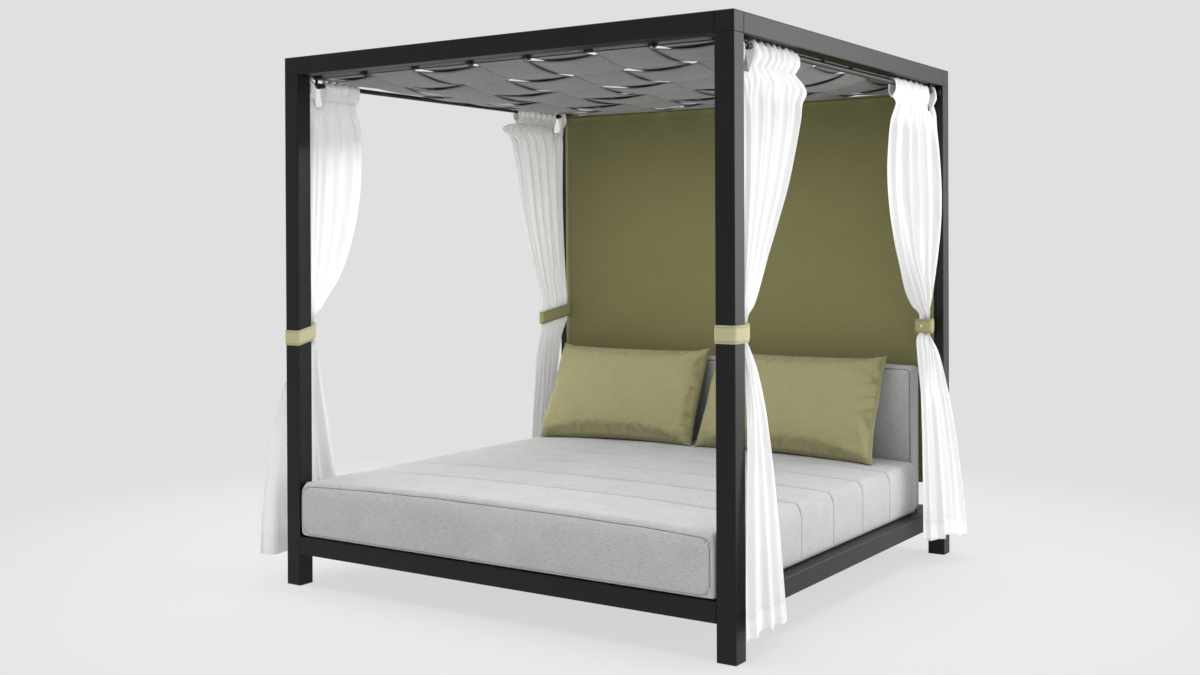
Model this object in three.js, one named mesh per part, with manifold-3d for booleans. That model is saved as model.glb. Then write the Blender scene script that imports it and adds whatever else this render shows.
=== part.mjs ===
// Outdoor daybed with a woven canopy, four gathered curtains, a channelled mattress,
// a backrest cushion and two loose pillows. Millimetres, +Z up, foot end at -Y.
// The origin is on the floor, under the middle of the frame.
import * as THREE from 'three';
import { mergeVertices } from 'three/addons/utils/BufferGeometryUtils.js';
import Module from 'manifold-3d';

const wasm = await Module();
wasm.setup();

// Frame
const frameWidth = 2100;
const frameDepth = 2100;
const frameHeight = 2195;
const tubeSize = 75;
const tubeWall = 3;
const tubeCornerRadius = 4;
const fitGap = 0.3;
const cutOverrun = 4;
const railUnderside = 130;
const railSetback = 30;
const spigotLength = 60;
const padHeight = 6;
const padSpigotLength = 24;
const cornerSteps = 2;

// Slatted deck
const slatCount = 12;
const slatWidth = 60;
const slatThickness = 20;
const bearerWidth = 40;
const bearerDepth = 50;
const bearerShares = [-0.6, 0, 0.6];
const weldSink = 2;

// Woven canopy and the four rods that its straps loop over
const strapCount = 7;
const strapSpacing = 61.7;
const strapFieldInset = 17;
const strapThickness = 1.6;
const canopySag = 72;
const sagFlatnessX = 4.5;
const sagFlatnessY = 2.6;
const weaveHeight = 10;
const betweenCrossingShare = 0.5;
const samplesPerPitch = 3;
const stepsAcrossStrap = 2;
const stepsAcrossSideStrap = 4;
const canopyRodRadius = 9;
const canopyRodInset = 22;
const canopyRodDrop = 2;
const canopyRodEndGap = 5;
const loopSides = 8;
const rodSides = 12;
const lugThickness = 8;
const lugWall = 5.5;
const lugGapIndexes = [0, 2, 3, 5];

// Rear fabric panel, stretched between an upper and a lower rod
const panelSideInset = 42;
const panelThickness = 1.6;
const panelRodRadius = 6;
const panelRodInset = 8;
const panelTopDrop = 30;
const panelLowerRodHeight = 330;
const panelFootLength = 24;
const panelFootHeight = 20;

// Curtain rods and their hooks
const curtainRodRadius = 10;
const curtainRodWall = 1.5;
const curtainRodDrop = 28;
const curtainRodEndGap = 20;
const hookFromPost = 88;
const hookWidth = 14;
const hookThickness = 4;
const hookPlateLength = 24;
const hookPlateThickness = 3;
const hookTipAngle = 25;
const hookSteps = 8;

// Curtains: sizes that all four share
const curtainThickness = 2;
const curtainFolds = 5;
const curtainStepsPerFold = 4;
const curtainFromPost = 20;
const pocketRadius = 18;
const pocketRuffle = 3;
const pocketDrop = 60;
const pocketSeamHalfGap = 2;
const pocketFromHook = 3;
const headerFoldDepth = 8;
const openFoldDepth = 24;
const openOutset = 20;
const hemFoldDepth = 26;
const hemInnerOutset = 2;
const hemSpread = 215;
const upperRowShares = [0.12, 0.4, 0.65, 0.86];
const upperNearShares = [0.5, 1, 1, 1];
const upperOutsetShares = [0.8, 1, 0.8, 0.2];
const lowerRowShares = [0.1, 0.28, 0.6, 1];
const lowerFlareShares = [0.34, 0.56, 0.8, 1];
const lowerNearShares = [0, 0.4, 0.8, 1];

// Curtains: the largest header and waist, and the mean tie and hem, that each corner has its shares of
const widestHeader = 543;
const widestWaist = 258;
const widestFarHalf = 36;
const tieMeanHeight = 1051;
const tieSteepestRise = 41;
const hemWidestOutset = 178;
const hemWrap = 40;
const hemMeanHeight = 100;
const cornerShares = [
  {
    name: 'front_left', side: -1, end: -1, header: 0.626, waist: 0.194, farHalf: 0.22,
    edge: [1.06, 1.03, 0.85, 0.42], tieZ: 1, tieRise: 0.268, hemOutset: 1, hemFrom: -1, hemZ: 1,
  },
  {
    name: 'front_right', side: 1, end: -1, header: 0.961, waist: 0.326, farHalf: 0.28,
    edge: [1.08, 0.88, 0.6, 0.27], tieZ: 1.052, tieRise: 0, hemOutset: 0.42, hemFrom: 0.5, hemZ: 0.85,
  },
  {
    name: 'back_right', side: 1, end: 1, header: 0.934, waist: 0.368, farHalf: 1,
    edge: [1.07, 1.02, 0.87, 0.5], tieZ: 0.99, tieRise: 0, hemOutset: 0.84, hemFrom: 0.5, hemZ: 1.15,
  },
  {
    name: 'back_left', side: -1, end: 1, header: 1, waist: 1, farHalf: 0.33,
    edge: [0.88, 0.62, 0.38, 0.1], tieZ: 1.003, tieRise: -1, hemOutset: 0.42, hemFrom: 0.5, hemZ: 1,
  },
];

// Tie bands
const tieHeight = 62;
const tieThickness = 2.5;
const tieClearance = 2;
const tieCornerRadius = 6;
const tieTabWidth = 16;
const bundleClearance = 4;
const rearTieInset = 18;
const rearTieNearHalf = 19;
const tieRoundShare = 0.6;
const tieTabReachShare = 0.25;

// Mattress
const mattressSideClearance = 3;
const mattressEdgeHeight = 224;
const mattressTopRadius = 55;
const mattressBottomRadius = 25;
const mattressCrown = 20;
const mattressEndRadius = 13;
const firstSeamFromFront = 385;
const lastSeamFromRear = 325;
const seamCount = 5;
const seamDepth = 7;
const seamHalfWidth = 16;
const channelCrown = 5;
const endSteps = 2;

// Backrest cushion
const backrestSideClearance = 27;
const backrestFromPosts = 18;
const backrestHeight = 652;
const backrestThickness = 96;
const backrestCornerRadius = 22;
const backrestCrown = 9;
const backrestEndRadius = 10;
const backrestFromMattress = 3;
const backrestStationShares = [-0.66, -0.22, 0.22, 0.66];

// Where points across a cushion's crowned faces lie, from its middle to its edge
const crownShares = [0.55, 0, -0.55];

// Loose pillows, leaning on the backrest
const pillowFromLeftEnd = 23;
const pillowFromRightEnd = 102;
const pillowSpacing = 31;
const pillowHeight = 490;
const pillowThickness = 174;
const pillowPinch = 20;
const pillowLean = 24;
const pillowFootFromBackrest = 225;
const pillowFootRise = 3;
const pillowColumns = 12;
const pillowRows = 7;
const pillowRoundnessShare = 0.55;

// Places worked out from the sizes above
const beamUnderside = frameHeight - tubeSize;
const postInnerX = frameWidth / 2 - tubeSize;
const postInnerY = frameDepth / 2 - tubeSize;
const postCentreX = frameWidth / 2 - tubeSize / 2;
const postCentreY = frameDepth / 2 - tubeSize / 2;
const railTop = railUnderside + tubeSize;
const railCentreZ = railUnderside + tubeSize / 2;
const sideRailCentreX = frameWidth / 2 - railSetback - tubeSize / 2;
const sideRailInnerX = sideRailCentreX - tubeSize / 2;
const strapPitchX = (2 * (postInnerX - strapFieldInset)) / strapCount;
const strapPitchY = (2 * (postInnerY - strapFieldInset)) / strapCount;
const canopyRodX = postInnerX - canopyRodInset;
const canopyRodY = postInnerY - canopyRodInset;
const canopyRodZ = beamUnderside - canopyRodDrop;
const curtainRodZ = beamUnderside - curtainRodDrop;
const panelHalfWidth = frameWidth / 2 - panelSideInset;
const panelRodHalfLength = frameWidth / 2 - panelRodInset;
const backrestHalfWidth = postInnerX - backrestSideClearance;
const backrestCentreY = postInnerY - backrestFromPosts - backrestCrown - backrestThickness / 2;
const backrestFront = backrestCentreY - backrestThickness / 2 - backrestCrown;
const mattressHalfWidth = postInnerX - mattressSideClearance;
const mattressFront = -frameDepth / 2;
const mattressRear = backrestFront - backrestFromMattress;
const pillowFieldWidth = 2 * backrestHalfWidth - pillowFromLeftEnd - pillowFromRightEnd;
const pillowWidth = (pillowFieldWidth - pillowSpacing) / 2;
const pillowLeftCentre = pillowFromLeftEnd - backrestHalfWidth + pillowWidth / 2;
const pillowRightCentre = pillowLeftCentre + pillowWidth + pillowSpacing;
const deckRest = railTop + fitGap;
const corners = cornerShares.map((share) => ({
  ...share,
  header: share.header * widestHeader,
  waist: share.waist * widestWaist,
  farHalf: share.farHalf * widestFarHalf,
  tieZ: share.tieZ * tieMeanHeight,
  tieRise: share.tieRise * tieSteepestRise,
  hemReach: frameWidth / 2 + share.hemOutset * hemWidestOutset,
  hemFrom: share.hemFrom * hemWrap,
  hemZ: share.hemZ * hemMeanHeight,
}));
const halfTurn = 180;
const quarterTurn = halfTurn / 2;
const degree = Math.PI / halfTurn;

// Finishes
const finishes = {
  frame: { color: 0x2c2d2f, roughness: 0.55, metalness: 0.3 },
  plastic: { color: 0x111111, roughness: 0.6, metalness: 0 },
  canopy: { color: 0x757371, roughness: 0.9, metalness: 0 },
  panel: { color: 0x6b6a45, roughness: 0.9, metalness: 0 },
  cushion: { color: 0xb9b9bb, roughness: 0.95, metalness: 0 },
  pillow: { color: 0x9a9a6c, roughness: 0.95, metalness: 0 },
  curtain: { color: 0xf6f6f4, roughness: 0.9, metalness: 0 },
  tie: { color: 0x9c9a6b, roughness: 0.9, metalness: 0 },
};

const daybed = new THREE.Group();

function addPiece(name, geometry, finish) {
  const mesh = new THREE.Mesh(geometry, new THREE.MeshStandardMaterial(finishes[finish]));
  mesh.name = name;
  daybed.add(mesh);
  return mesh;
}

// Joining and cutting
function toSolid(geometry) {
  const bare = geometry.clone();
  bare.deleteAttribute('normal');
  bare.deleteAttribute('uv');
  const merged = mergeVertices(bare);
  const vertProperties = new Float32Array(merged.attributes.position.array);
  const triVerts = new Uint32Array(merged.index.array);
  return new wasm.Manifold(new wasm.Mesh({ numProp: 3, vertProperties, triVerts }));
}

function toGeometry(solid) {
  const { vertProperties, triVerts } = solid.getMesh();
  const geometry = new THREE.BufferGeometry();
  geometry.setAttribute('position', new THREE.BufferAttribute(vertProperties, 3));
  geometry.setIndex(new THREE.BufferAttribute(triVerts, 1));
  return geometry;
}

function joined(first, ...others) {
  return toGeometry(others.reduce((solid, next) => solid.add(toSolid(next)), toSolid(first)));
}

function cut(body, ...cutters) {
  return toGeometry(cutters.reduce((solid, next) => solid.subtract(toSolid(next)), toSolid(body)));
}

function common(first, ...others) {
  return toGeometry(others.reduce((solid, next) => solid.intersect(toSolid(next)), toSolid(first)));
}

// Basic shapes
function mix(from, to, share) {
  return from + (to - from) * share;
}

function boxBetween(low, high) {
  const size = new THREE.Vector3().subVectors(high, low);
  const centre = new THREE.Vector3().addVectors(low, high).multiplyScalar(0.5);
  return new THREE.BoxGeometry(size.x, size.y, size.z).translate(centre.x, centre.y, centre.z);
}

function roundedOutline(halfX, halfY, radius, steps) {
  const points = [];
  [[1, 1], [-1, 1], [-1, -1], [1, -1]].forEach(([signX, signY], quarter) => {
    for (let step = 0; step <= steps; step += 1) {
      const angle = (quarter + step / steps) * quarterTurn * degree;
      points.push(new THREE.Vector2(
        signX * (halfX - radius) + radius * Math.cos(angle),
        signY * (halfY - radius) + radius * Math.sin(angle),
      ));
    }
  });
  return points;
}

function circlePoints(radius, sides, centreX = 0, centreY = 0, turn = 0) {
  return Array.from({ length: sides }, (_, index) => {
    const angle = turn + (index * 2 * Math.PI) / sides;
    return new THREE.Vector2(centreX + radius * Math.cos(angle), centreY + radius * Math.sin(angle));
  });
}

function extruded(outline, depth, holes = [], steps = 1) {
  const shape = new THREE.Shape(outline);
  holes.forEach((hole) => shape.holes.push(new THREE.Path(hole)));
  return new THREE.ExtrudeGeometry(shape, { depth, steps, bevelEnabled: false }).translate(0, 0, -depth / 2);
}

// Lays a shape drawn in X and Y, and extruded along Z, along another axis, with its Y upright
function alongX(geometry) {
  return geometry.applyMatrix4(new THREE.Matrix4().set(0, 0, 1, 0, 1, 0, 0, 0, 0, 1, 0, 0, 0, 0, 0, 1));
}

function alongY(geometry) {
  return geometry.rotateX(Math.PI / 2);
}

function squareTube(length) {
  const half = tubeSize / 2;
  const inner = half - tubeWall;
  const outline = roundedOutline(half, half, tubeCornerRadius, cornerSteps);
  const bore = [[1, 1], [-1, 1], [-1, -1], [1, -1]].map(([x, y]) => new THREE.Vector2(x * inner, y * inner));
  return extruded(outline, length, [bore]);
}

function roundBar(radius, length) {
  return extruded(circlePoints(radius, rodSides, 0, 0, Math.PI / rodSides), length);
}

// Radius of a polygon's corners whose flats stay a given distance from its centre
function cornersFor(flatRadius, sides) {
  return flatRadius / Math.cos(Math.PI / sides);
}

// Closed bodies from grids of points
function bodyFrom(points, triangles) {
  const geometry = new THREE.BufferGeometry();
  const signedVolume = triangles.reduce((sum, [a, b, c]) => {
    return sum + points[a].dot(new THREE.Vector3().crossVectors(points[b], points[c]));
  }, 0);
  const ordered = signedVolume > 0 ? triangles : triangles.map(([a, b, c]) => [a, c, b]);
  geometry.setAttribute('position', new THREE.Float32BufferAttribute(points.flatMap((p) => p.toArray()), 3));
  geometry.setIndex(ordered.flat());
  return geometry;
}

// Skins a row of rings that all have as many points, and closes both ends
function lofted(rings) {
  const count = rings[0].length;
  const points = rings.flat();
  const triangles = [];
  for (let ring = 0; ring < rings.length - 1; ring += 1) {
    for (let index = 0; index < count; index += 1) {
      const next = (index + 1) % count;
      const a = ring * count + index;
      const b = ring * count + next;
      triangles.push([a, b, b + count], [a, b + count, a + count]);
    }
  }
  [0, rings.length - 1].forEach((ring) => {
    const hub = points.length;
    const centre = new THREE.Vector3();
    rings[ring].forEach((point) => centre.addScaledVector(point, 1 / count));
    points.push(centre);
    for (let index = 0; index < count; index += 1) {
      const a = ring * count + index;
      const b = ring * count + ((index + 1) % count);
      triangles.push(ring === 0 ? [hub, b, a] : [hub, a, b]);
    }
  });
  return bodyFrom(points, triangles);
}

// Gives a grid of points a thickness, half to each side, and closes its edges
function thickened(grid, thickness) {
  const rows = grid.length;
  const columns = grid[0].length;
  const at = (row, column) => grid[Math.min(Math.max(row, 0), rows - 1)][
    Math.min(Math.max(column, 0), columns - 1)];
  const sides = [1, -1].map((side) => grid.map((line, row) => line.map((point, column) => {
    const down = new THREE.Vector3().subVectors(at(row + 1, column), at(row - 1, column)).normalize();
    const across = new THREE.Vector3().subVectors(at(row, column + 1), at(row, column - 1)).normalize();
    const normal = new THREE.Vector3().crossVectors(down, across).normalize();
    return point.clone().addScaledVector(normal, (side * thickness) / 2);
  })));
  const points = sides.flat(2);
  const index = (side, row, column) => side * rows * columns + row * columns + column;
  const triangles = [];
  const quad = (a, b, c, d) => triangles.push([a, b, c], [a, c, d]);
  for (let row = 0; row < rows - 1; row += 1) {
    for (let column = 0; column < columns - 1; column += 1) {
      quad(index(0, row, column), index(0, row + 1, column),
        index(0, row + 1, column + 1), index(0, row, column + 1));
      quad(index(1, row, column), index(1, row, column + 1),
        index(1, row + 1, column + 1), index(1, row + 1, column));
    }
    quad(index(0, row, 0), index(1, row, 0), index(1, row + 1, 0), index(0, row + 1, 0));
    const last = columns - 1;
    quad(index(0, row, last), index(0, row + 1, last), index(1, row + 1, last), index(1, row, last));
  }
  for (let column = 0; column < columns - 1; column += 1) {
    const last = rows - 1;
    quad(index(0, 0, column), index(0, 0, column + 1), index(1, 0, column + 1), index(1, 0, column));
    quad(index(0, last, column), index(1, last, column),
      index(1, last, column + 1), index(0, last, column + 1));
  }
  return bodyFrom(points, triangles);
}

// Posts, foot pads and corner blocks
function addCorners() {
  const postBottom = padHeight + fitGap;
  const postLength = beamUnderside - fitGap - postBottom;
  const plugHalf = tubeSize / 2 - tubeWall - fitGap;
  const half = tubeSize / 2;
  const edge = () => extruded(roundedOutline(half, half, tubeCornerRadius, cornerSteps), tubeSize);
  corners.forEach(({ name, side, end }) => {
    const x = side * postCentreX;
    const y = end * postCentreY;
    addPiece(`post_${name}`, squareTube(postLength), 'frame')
      .position.set(x, y, postBottom + postLength / 2);
    const pad = extruded(roundedOutline(half, half, tubeCornerRadius, cornerSteps), padHeight)
      .translate(0, 0, padHeight / 2);
    const plug = boxBetween(
      new THREE.Vector3(-plugHalf, -plugHalf, padHeight / 2),
      new THREE.Vector3(plugHalf, plugHalf, padHeight + padSpigotLength),
    );
    addPiece(`foot_pad_${name}`, joined(pad, plug), 'plastic').position.set(x, y, 0);
    const block = common(edge(), alongX(edge()), alongY(edge()));
    const reach = half + spigotLength;
    const spigots = [
      boxBetween(new THREE.Vector3(-plugHalf, -plugHalf, -reach), new THREE.Vector3(plugHalf, plugHalf, 0)),
      boxBetween(
        new THREE.Vector3(Math.min(0, -side * reach), -plugHalf, -plugHalf),
        new THREE.Vector3(Math.max(0, -side * reach), plugHalf, plugHalf),
      ),
      boxBetween(
        new THREE.Vector3(-plugHalf, Math.min(0, -end * reach), -plugHalf),
        new THREE.Vector3(plugHalf, Math.max(0, -end * reach), plugHalf),
      ),
    ];
    addPiece(`corner_block_${name}`, joined(block, ...spigots), 'frame')
      .position.set(x, y, beamUnderside + half);
  });
}

// An eye lug seen along its rod: the beam's inner face is at X zero, the rod inwards of it at -X
function eyeLug() {
  const bore = canopyRodRadius + fitGap;
  const ring = bore + lugWall;
  const rodUp = -tubeSize / 2 - canopyRodDrop;
  const eye = extruded(circlePoints(ring, rodSides, -canopyRodInset, rodUp), lugThickness);
  const web = boxBetween(
    new THREE.Vector3(-canopyRodInset, -tubeSize / 2 + tubeCornerRadius, -lugThickness / 2),
    new THREE.Vector3(tubeWall / 2, rodUp + ring, lugThickness / 2),
  );
  const hole = extruded(
    circlePoints(cornersFor(bore, rodSides), rodSides, -canopyRodInset, rodUp, Math.PI / rodSides),
    lugThickness + cutOverrun,
  );
  return cut(joined(eye, web), hole);
}

function strapGapPlace(gapIndex, pitch) {
  return (gapIndex - (strapCount - 2) / 2) * pitch;
}

// Top beams with the eye lugs that carry the canopy rods, and base rails
function addBeamsAndRails() {
  const lugs = (side, pitch) => lugGapIndexes.map((gapIndex) => eyeLug()
    .applyMatrix4(new THREE.Matrix4().makeRotationY(side > 0 ? 0 : Math.PI))
    .translate((-side * tubeSize) / 2, 0, strapGapPlace(gapIndex, pitch)));
  const spanX = 2 * (postInnerX - fitGap);
  const spanY = 2 * (postInnerY - fitGap);
  const beamZ = beamUnderside + tubeSize / 2;
  [['front', -1], ['back', 1]].forEach(([name, end]) => {
    const beam = alongX(joined(squareTube(spanX), ...lugs(end, strapPitchX)));
    addPiece(`beam_${name}`, beam, 'frame').position.set(0, end * postCentreY, beamZ);
    addPiece(`rail_${name}`, alongX(squareTube(spanX)), 'frame')
      .position.set(0, end * postCentreY, railCentreZ);
  });
  [['left', -1], ['right', 1]].forEach(([name, side]) => {
    const beam = alongY(joined(squareTube(spanY), ...lugs(side, strapPitchY)));
    addPiece(`beam_${name}`, beam, 'frame').position.set(side * postCentreX, 0, beamZ);
    addPiece(`rail_${name}`, alongY(squareTube(spanY)), 'frame')
      .position.set(side * sideRailCentreX, 0, railCentreZ);
  });
}

// Slats welded across lengthwise bearers
function addDeck() {
  const halfX = sideRailInnerX - fitGap;
  const halfY = postInnerY - fitGap;
  const slatBottom = railTop - slatThickness;
  const pitch = (2 * halfY - slatWidth) / (slatCount - 1);
  const slats = Array.from({ length: slatCount }, (_, index) => {
    const y = -halfY + index * pitch;
    return boxBetween(
      new THREE.Vector3(-halfX, y, slatBottom),
      new THREE.Vector3(halfX, y + slatWidth, railTop),
    );
  });
  const bearers = bearerShares.map((share) => boxBetween(
    new THREE.Vector3(share * halfX - bearerWidth / 2, -halfY, slatBottom - bearerDepth),
    new THREE.Vector3(share * halfX + bearerWidth / 2, halfY, slatBottom + weldSink),
  ));
  addPiece('slat_deck', joined(...bearers, ...slats), 'frame');
}

// Canopy rods: the front and back ones run right across, the side ones stop between them
function addCanopyRods() {
  const endGap = canopyRodEndGap;
  const crossLength = 2 * (postInnerX - endGap);
  const longLength = 2 * (canopyRodY - canopyRodRadius - endGap);
  [['front', -1], ['back', 1]].forEach(([name, end]) => {
    addPiece(`canopy_rod_${name}`, alongX(roundBar(canopyRodRadius, crossLength)), 'frame')
      .position.set(0, end * canopyRodY, canopyRodZ);
  });
  [['left', -1], ['right', 1]].forEach(([name, side]) => {
    addPiece(`canopy_rod_${name}`, alongY(roundBar(canopyRodRadius, longLength)), 'frame')
      .position.set(side * canopyRodX, 0, canopyRodZ);
  });
}

// The straps: the side view of one is a loop at each end with a rising and falling ribbon between
const loopBore = cornersFor(canopyRodRadius + fitGap, loopSides);
const loopOuter = loopBore + strapThickness;

// Which of two crossing straps is on top changes at every crossing, as in a plain weave
function weaveAt(step, parity) {
  const crossing = Math.round(step / samplesPerPitch);
  const onTop = (crossing + parity) % 2 === 0;
  const away = Math.min(1, Math.abs(step - crossing * samplesPerPitch));
  return (onTop ? 1 : -1) * weaveHeight * mix(1, betweenCrossingShare, away);
}

function strapOutline(rodPlace, pitch, parity, isSide) {
  const lastStep = (samplesPerPitch * (strapCount - 1)) / 2 + 1;
  const half = strapThickness / 2;
  const neck = rodPlace - loopOuter + half * Math.tan(Math.PI / loopSides);
  const loop = (sign) => {
    return circlePoints(loopOuter, loopSides, sign * rodPlace, 0, sign > 0 ? Math.PI : 0).slice(1);
  };
  const ribbon = (offset) => {
    const steps = Array.from({ length: 2 * lastStep + 1 }, (_, index) => index - lastStep);
    if (isSide) {
      steps.splice(1, 0, 0.5 - lastStep);
      steps.splice(-1, 0, lastStep - 0.5);
    }
    return steps.map((step) => new THREE.Vector2(
      (step * pitch) / samplesPerPitch,
      weaveAt(step, parity) + offset,
    ));
  };
  return [
    ...loop(1),
    new THREE.Vector2(neck, half),
    ...ribbon(half).reverse(),
    new THREE.Vector2(-neck, half),
    ...loop(-1),
    new THREE.Vector2(-neck, -half),
    ...ribbon(-half),
    new THREE.Vector2(neck, -half),
  ];
}

// How far the woven sheet hangs below the rods: steeply at its edges, flatter towards the middle
function canopyDrop(x, y) {
  const share = (place, rod, flatness) => {
    return Math.max(0, 1 - (Math.abs(place) / (rod - loopOuter)) ** flatness);
  };
  return canopySag * share(x, canopyRodX, sagFlatnessX) * share(y, canopyRodY, sagFlatnessY);
}

function strap(isCross, index) {
  const rodPlace = isCross ? canopyRodX : canopyRodY;
  const [pitchAlong, pitchAcross] = isCross ? [strapPitchX, strapPitchY] : [strapPitchY, strapPitchX];
  const centre = (index - (strapCount - 1) / 2) * pitchAcross;
  const isSide = index === 0 || index === strapCount - 1;
  const outline = strapOutline(rodPlace, pitchAlong, index + (isCross ? 0 : 1), isSide);
  const bores = [1, -1].map((sign) => circlePoints(loopBore, loopSides, sign * rodPlace));
  const stepsAcross = isSide ? stepsAcrossSideStrap : stepsAcrossStrap;
  const flat = extruded(outline, pitchAcross - strapSpacing, bores, stepsAcross);
  const body = isCross ? alongY(flat).translate(0, centre, canopyRodZ)
    : alongX(flat).translate(centre, 0, canopyRodZ);
  const place = body.attributes.position;
  for (let corner = 0; corner < place.count; corner += 1) {
    place.setZ(corner, place.getZ(corner) - canopyDrop(place.getX(corner), place.getY(corner)));
  }
  return toGeometry(toSolid(body));
}

function addStraps() {
  for (let index = 0; index < strapCount; index += 1) {
    addPiece(`cross_strap_${index + 1}`, strap(true, index), 'canopy');
    addPiece(`long_strap_${index + 1}`, strap(false, index), 'canopy');
  }
}

// Rear panel: a flat cloth with a pocket round a rod at its top and another at its bottom
function addRearPanel() {
  const bore = cornersFor(panelRodRadius + fitGap, loopSides);
  const outer = bore + panelThickness;
  const half = panelThickness / 2;
  const neck = outer - half * Math.tan(Math.PI / loopSides);
  const y = postInnerY - fitGap - outer;
  const top = beamUnderside - panelTopDrop;
  const bottom = panelLowerRodHeight;
  const outline = [
    ...circlePoints(outer, loopSides, 0, top, -Math.PI / 2).slice(1),
    new THREE.Vector2(-half, top - neck),
    new THREE.Vector2(-half, bottom + neck),
    ...circlePoints(outer, loopSides, 0, bottom, Math.PI / 2).slice(1),
    new THREE.Vector2(half, bottom + neck),
    new THREE.Vector2(half, top - neck),
  ];
  const bores = [top, bottom].map((z) => circlePoints(bore, loopSides, 0, z, Math.PI / 2));
  const cloth = alongX(extruded(outline, 2 * panelHalfWidth, bores)).translate(0, y, 0);
  addPiece('rear_panel', toGeometry(toSolid(cloth)), 'panel');
  const foot = (side) => boxBetween(
    new THREE.Vector3(Math.min(side * panelRodHalfLength, side * (panelRodHalfLength - panelFootLength)),
      -panelRodRadius, -panelFootHeight / 2),
    new THREE.Vector3(Math.max(side * panelRodHalfLength, side * (panelRodHalfLength - panelFootLength)),
      outer, panelFootHeight / 2),
  );
  [['top', top], ['bottom', bottom]].forEach(([name, z]) => {
    const bar = alongX(roundBar(panelRodRadius, 2 * (panelRodHalfLength - panelFootLength / 2)));
    addPiece(`rear_panel_rod_${name}`, joined(bar, foot(-1), foot(1)), 'frame').position.set(0, y, z);
  });
}

// A hook seen along its rod, with the rod's axis at the origin and the stem on the -X side
function curtainHook() {
  const inner = curtainRodRadius + fitGap;
  const outer = inner + hookThickness;
  const plateTop = curtainRodDrop - fitGap;
  const arc = (radius, from, to) => Array.from({ length: hookSteps + 1 }, (_, step) => {
    const angle = (from + ((to - from) * step) / hookSteps) * degree;
    return new THREE.Vector2(radius * Math.cos(angle), radius * Math.sin(angle));
  });
  const tip = 2 * halfTurn + hookTipAngle;
  const innerRadius = inner / Math.cos(((tip - halfTurn) / hookSteps / 2) * degree);
  const outline = [
    new THREE.Vector2(-outer, plateTop - hookPlateThickness / 2),
    ...arc(outer, halfTurn, tip),
    ...arc(innerRadius, tip, halfTurn),
    new THREE.Vector2(-innerRadius, plateTop - hookPlateThickness / 2),
  ];
  const stem = extruded(outline, hookWidth);
  const plate = boxBetween(
    new THREE.Vector3(-outer, plateTop - hookPlateThickness, -hookPlateLength / 2),
    new THREE.Vector3(outer, plateTop, hookPlateLength / 2),
  );
  return joined(stem, plate);
}

function addCurtainRods() {
  const length = 2 * (postInnerY - curtainRodEndGap);
  const tube = extruded(circlePoints(curtainRodRadius, rodSides, 0, 0, Math.PI / rodSides), length, [
    circlePoints(curtainRodRadius - curtainRodWall, rodSides, 0, 0, Math.PI / rodSides),
  ]);
  [['left', -1], ['right', 1]].forEach(([name, side]) => {
    addPiece(`curtain_rod_${name}`, alongY(tube.clone()), 'frame')
      .position.set(side * postCentreX, 0, curtainRodZ);
  });
  corners.forEach(({ name, side, end }) => {
    const hook = curtainHook();
    if (end > 0) hook.rotateY(Math.PI);
    addPiece(`curtain_hook_${name}`, alongY(hook), 'frame')
      .position.set(side * postCentreX, end * (postInnerY - hookFromPost), curtainRodZ);
  });
}

// Tie bands: the front ones go round post and curtain, the rear ones round the curtain alone,
// with a tab to the post that passes the edge of the rear panel
function tieCentreX(end) {
  return end < 0 ? postCentreX : postCentreX - rearTieInset;
}

// Half the inner width of a tie at a distance from the post's inner face
function tieHalfAt({ end, waist, farHalf }, distance) {
  const nearHalf = end < 0 ? tubeSize / 2 + tieClearance : rearTieNearHalf;
  const share = Math.max(0, distance) / (waist + bundleClearance);
  return nearHalf + (farHalf - nearHalf) * share;
}

function taperedRing(corner) {
  const far = corner.waist + bundleClearance;
  const near = corner.end < 0 ? 0 : curtainFromPost - bundleClearance;
  const widths = [[near, tieHalfAt(corner, near)], [far, corner.farHalf]];
  if (corner.end < 0) widths.unshift([-tubeSize - tieClearance, tieHalfAt(corner, 0)]);
  const outline = (grow) => {
    const rows = widths.map(([y, half]) => [y, half + grow]);
    rows[0][0] -= grow;
    rows[rows.length - 1][0] += grow;
    const right = rows.flatMap(([y, half], index) => {
      if (index > 0 && index < rows.length - 1) return [[half, y]];
      const inwards = index === 0 ? 1 : -1;
      const radius = Math.min(tieCornerRadius, half * tieRoundShare);
      const cutCorner = [[half - radius, y], [half, y + inwards * radius]];
      return index === 0 ? cutCorner : cutCorner.reverse();
    });
    const left = right.map(([x, y]) => [-x, y]).reverse();
    return [...right, ...left].map(([x, y]) => new THREE.Vector2(x, y));
  };
  return extruded(outline(tieThickness), tieHeight, [outline(0)]);
}

function addTies() {
  corners.forEach((corner) => {
    const { name, side, end, waist, tieRise, tieZ } = corner;
    const shapes = [taperedRing(corner)];
    if (end > 0) {
      const near = curtainFromPost - bundleClearance - tieThickness / 2;
      const tabX = rearTieInset;
      shapes.push(
        boxBetween(new THREE.Vector3(tabX, fitGap, -tieHeight / 2),
          new THREE.Vector3(tabX + tieThickness, near + tabX * tieTabReachShare, tieHeight / 2)),
        boxBetween(new THREE.Vector3(tabX, fitGap, -tieHeight / 2),
          new THREE.Vector3(tabX + tieTabWidth, fitGap + tieThickness, tieHeight / 2)),
      );
    }
    const band = joined(...shapes);
    const place = band.attributes.position;
    for (let index = 0; index < place.count; index += 1) {
      place.setZ(index, place.getZ(index) + (tieRise * (place.getY(index) - waist / 2)) / waist);
    }
    // The band is drawn with the post's inner face at Y zero and the curtain towards +Y
    const turned = band.applyMatrix4(new THREE.Matrix4().makeScale(side, -end, 1));
    const facing = side * end < 0 ? turned : flipped(turned);
    addPiece(`tie_${name}`, facing, 'tie').position.set(side * tieCentreX(end), end * postInnerY, tieZ);
  });
}

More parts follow.
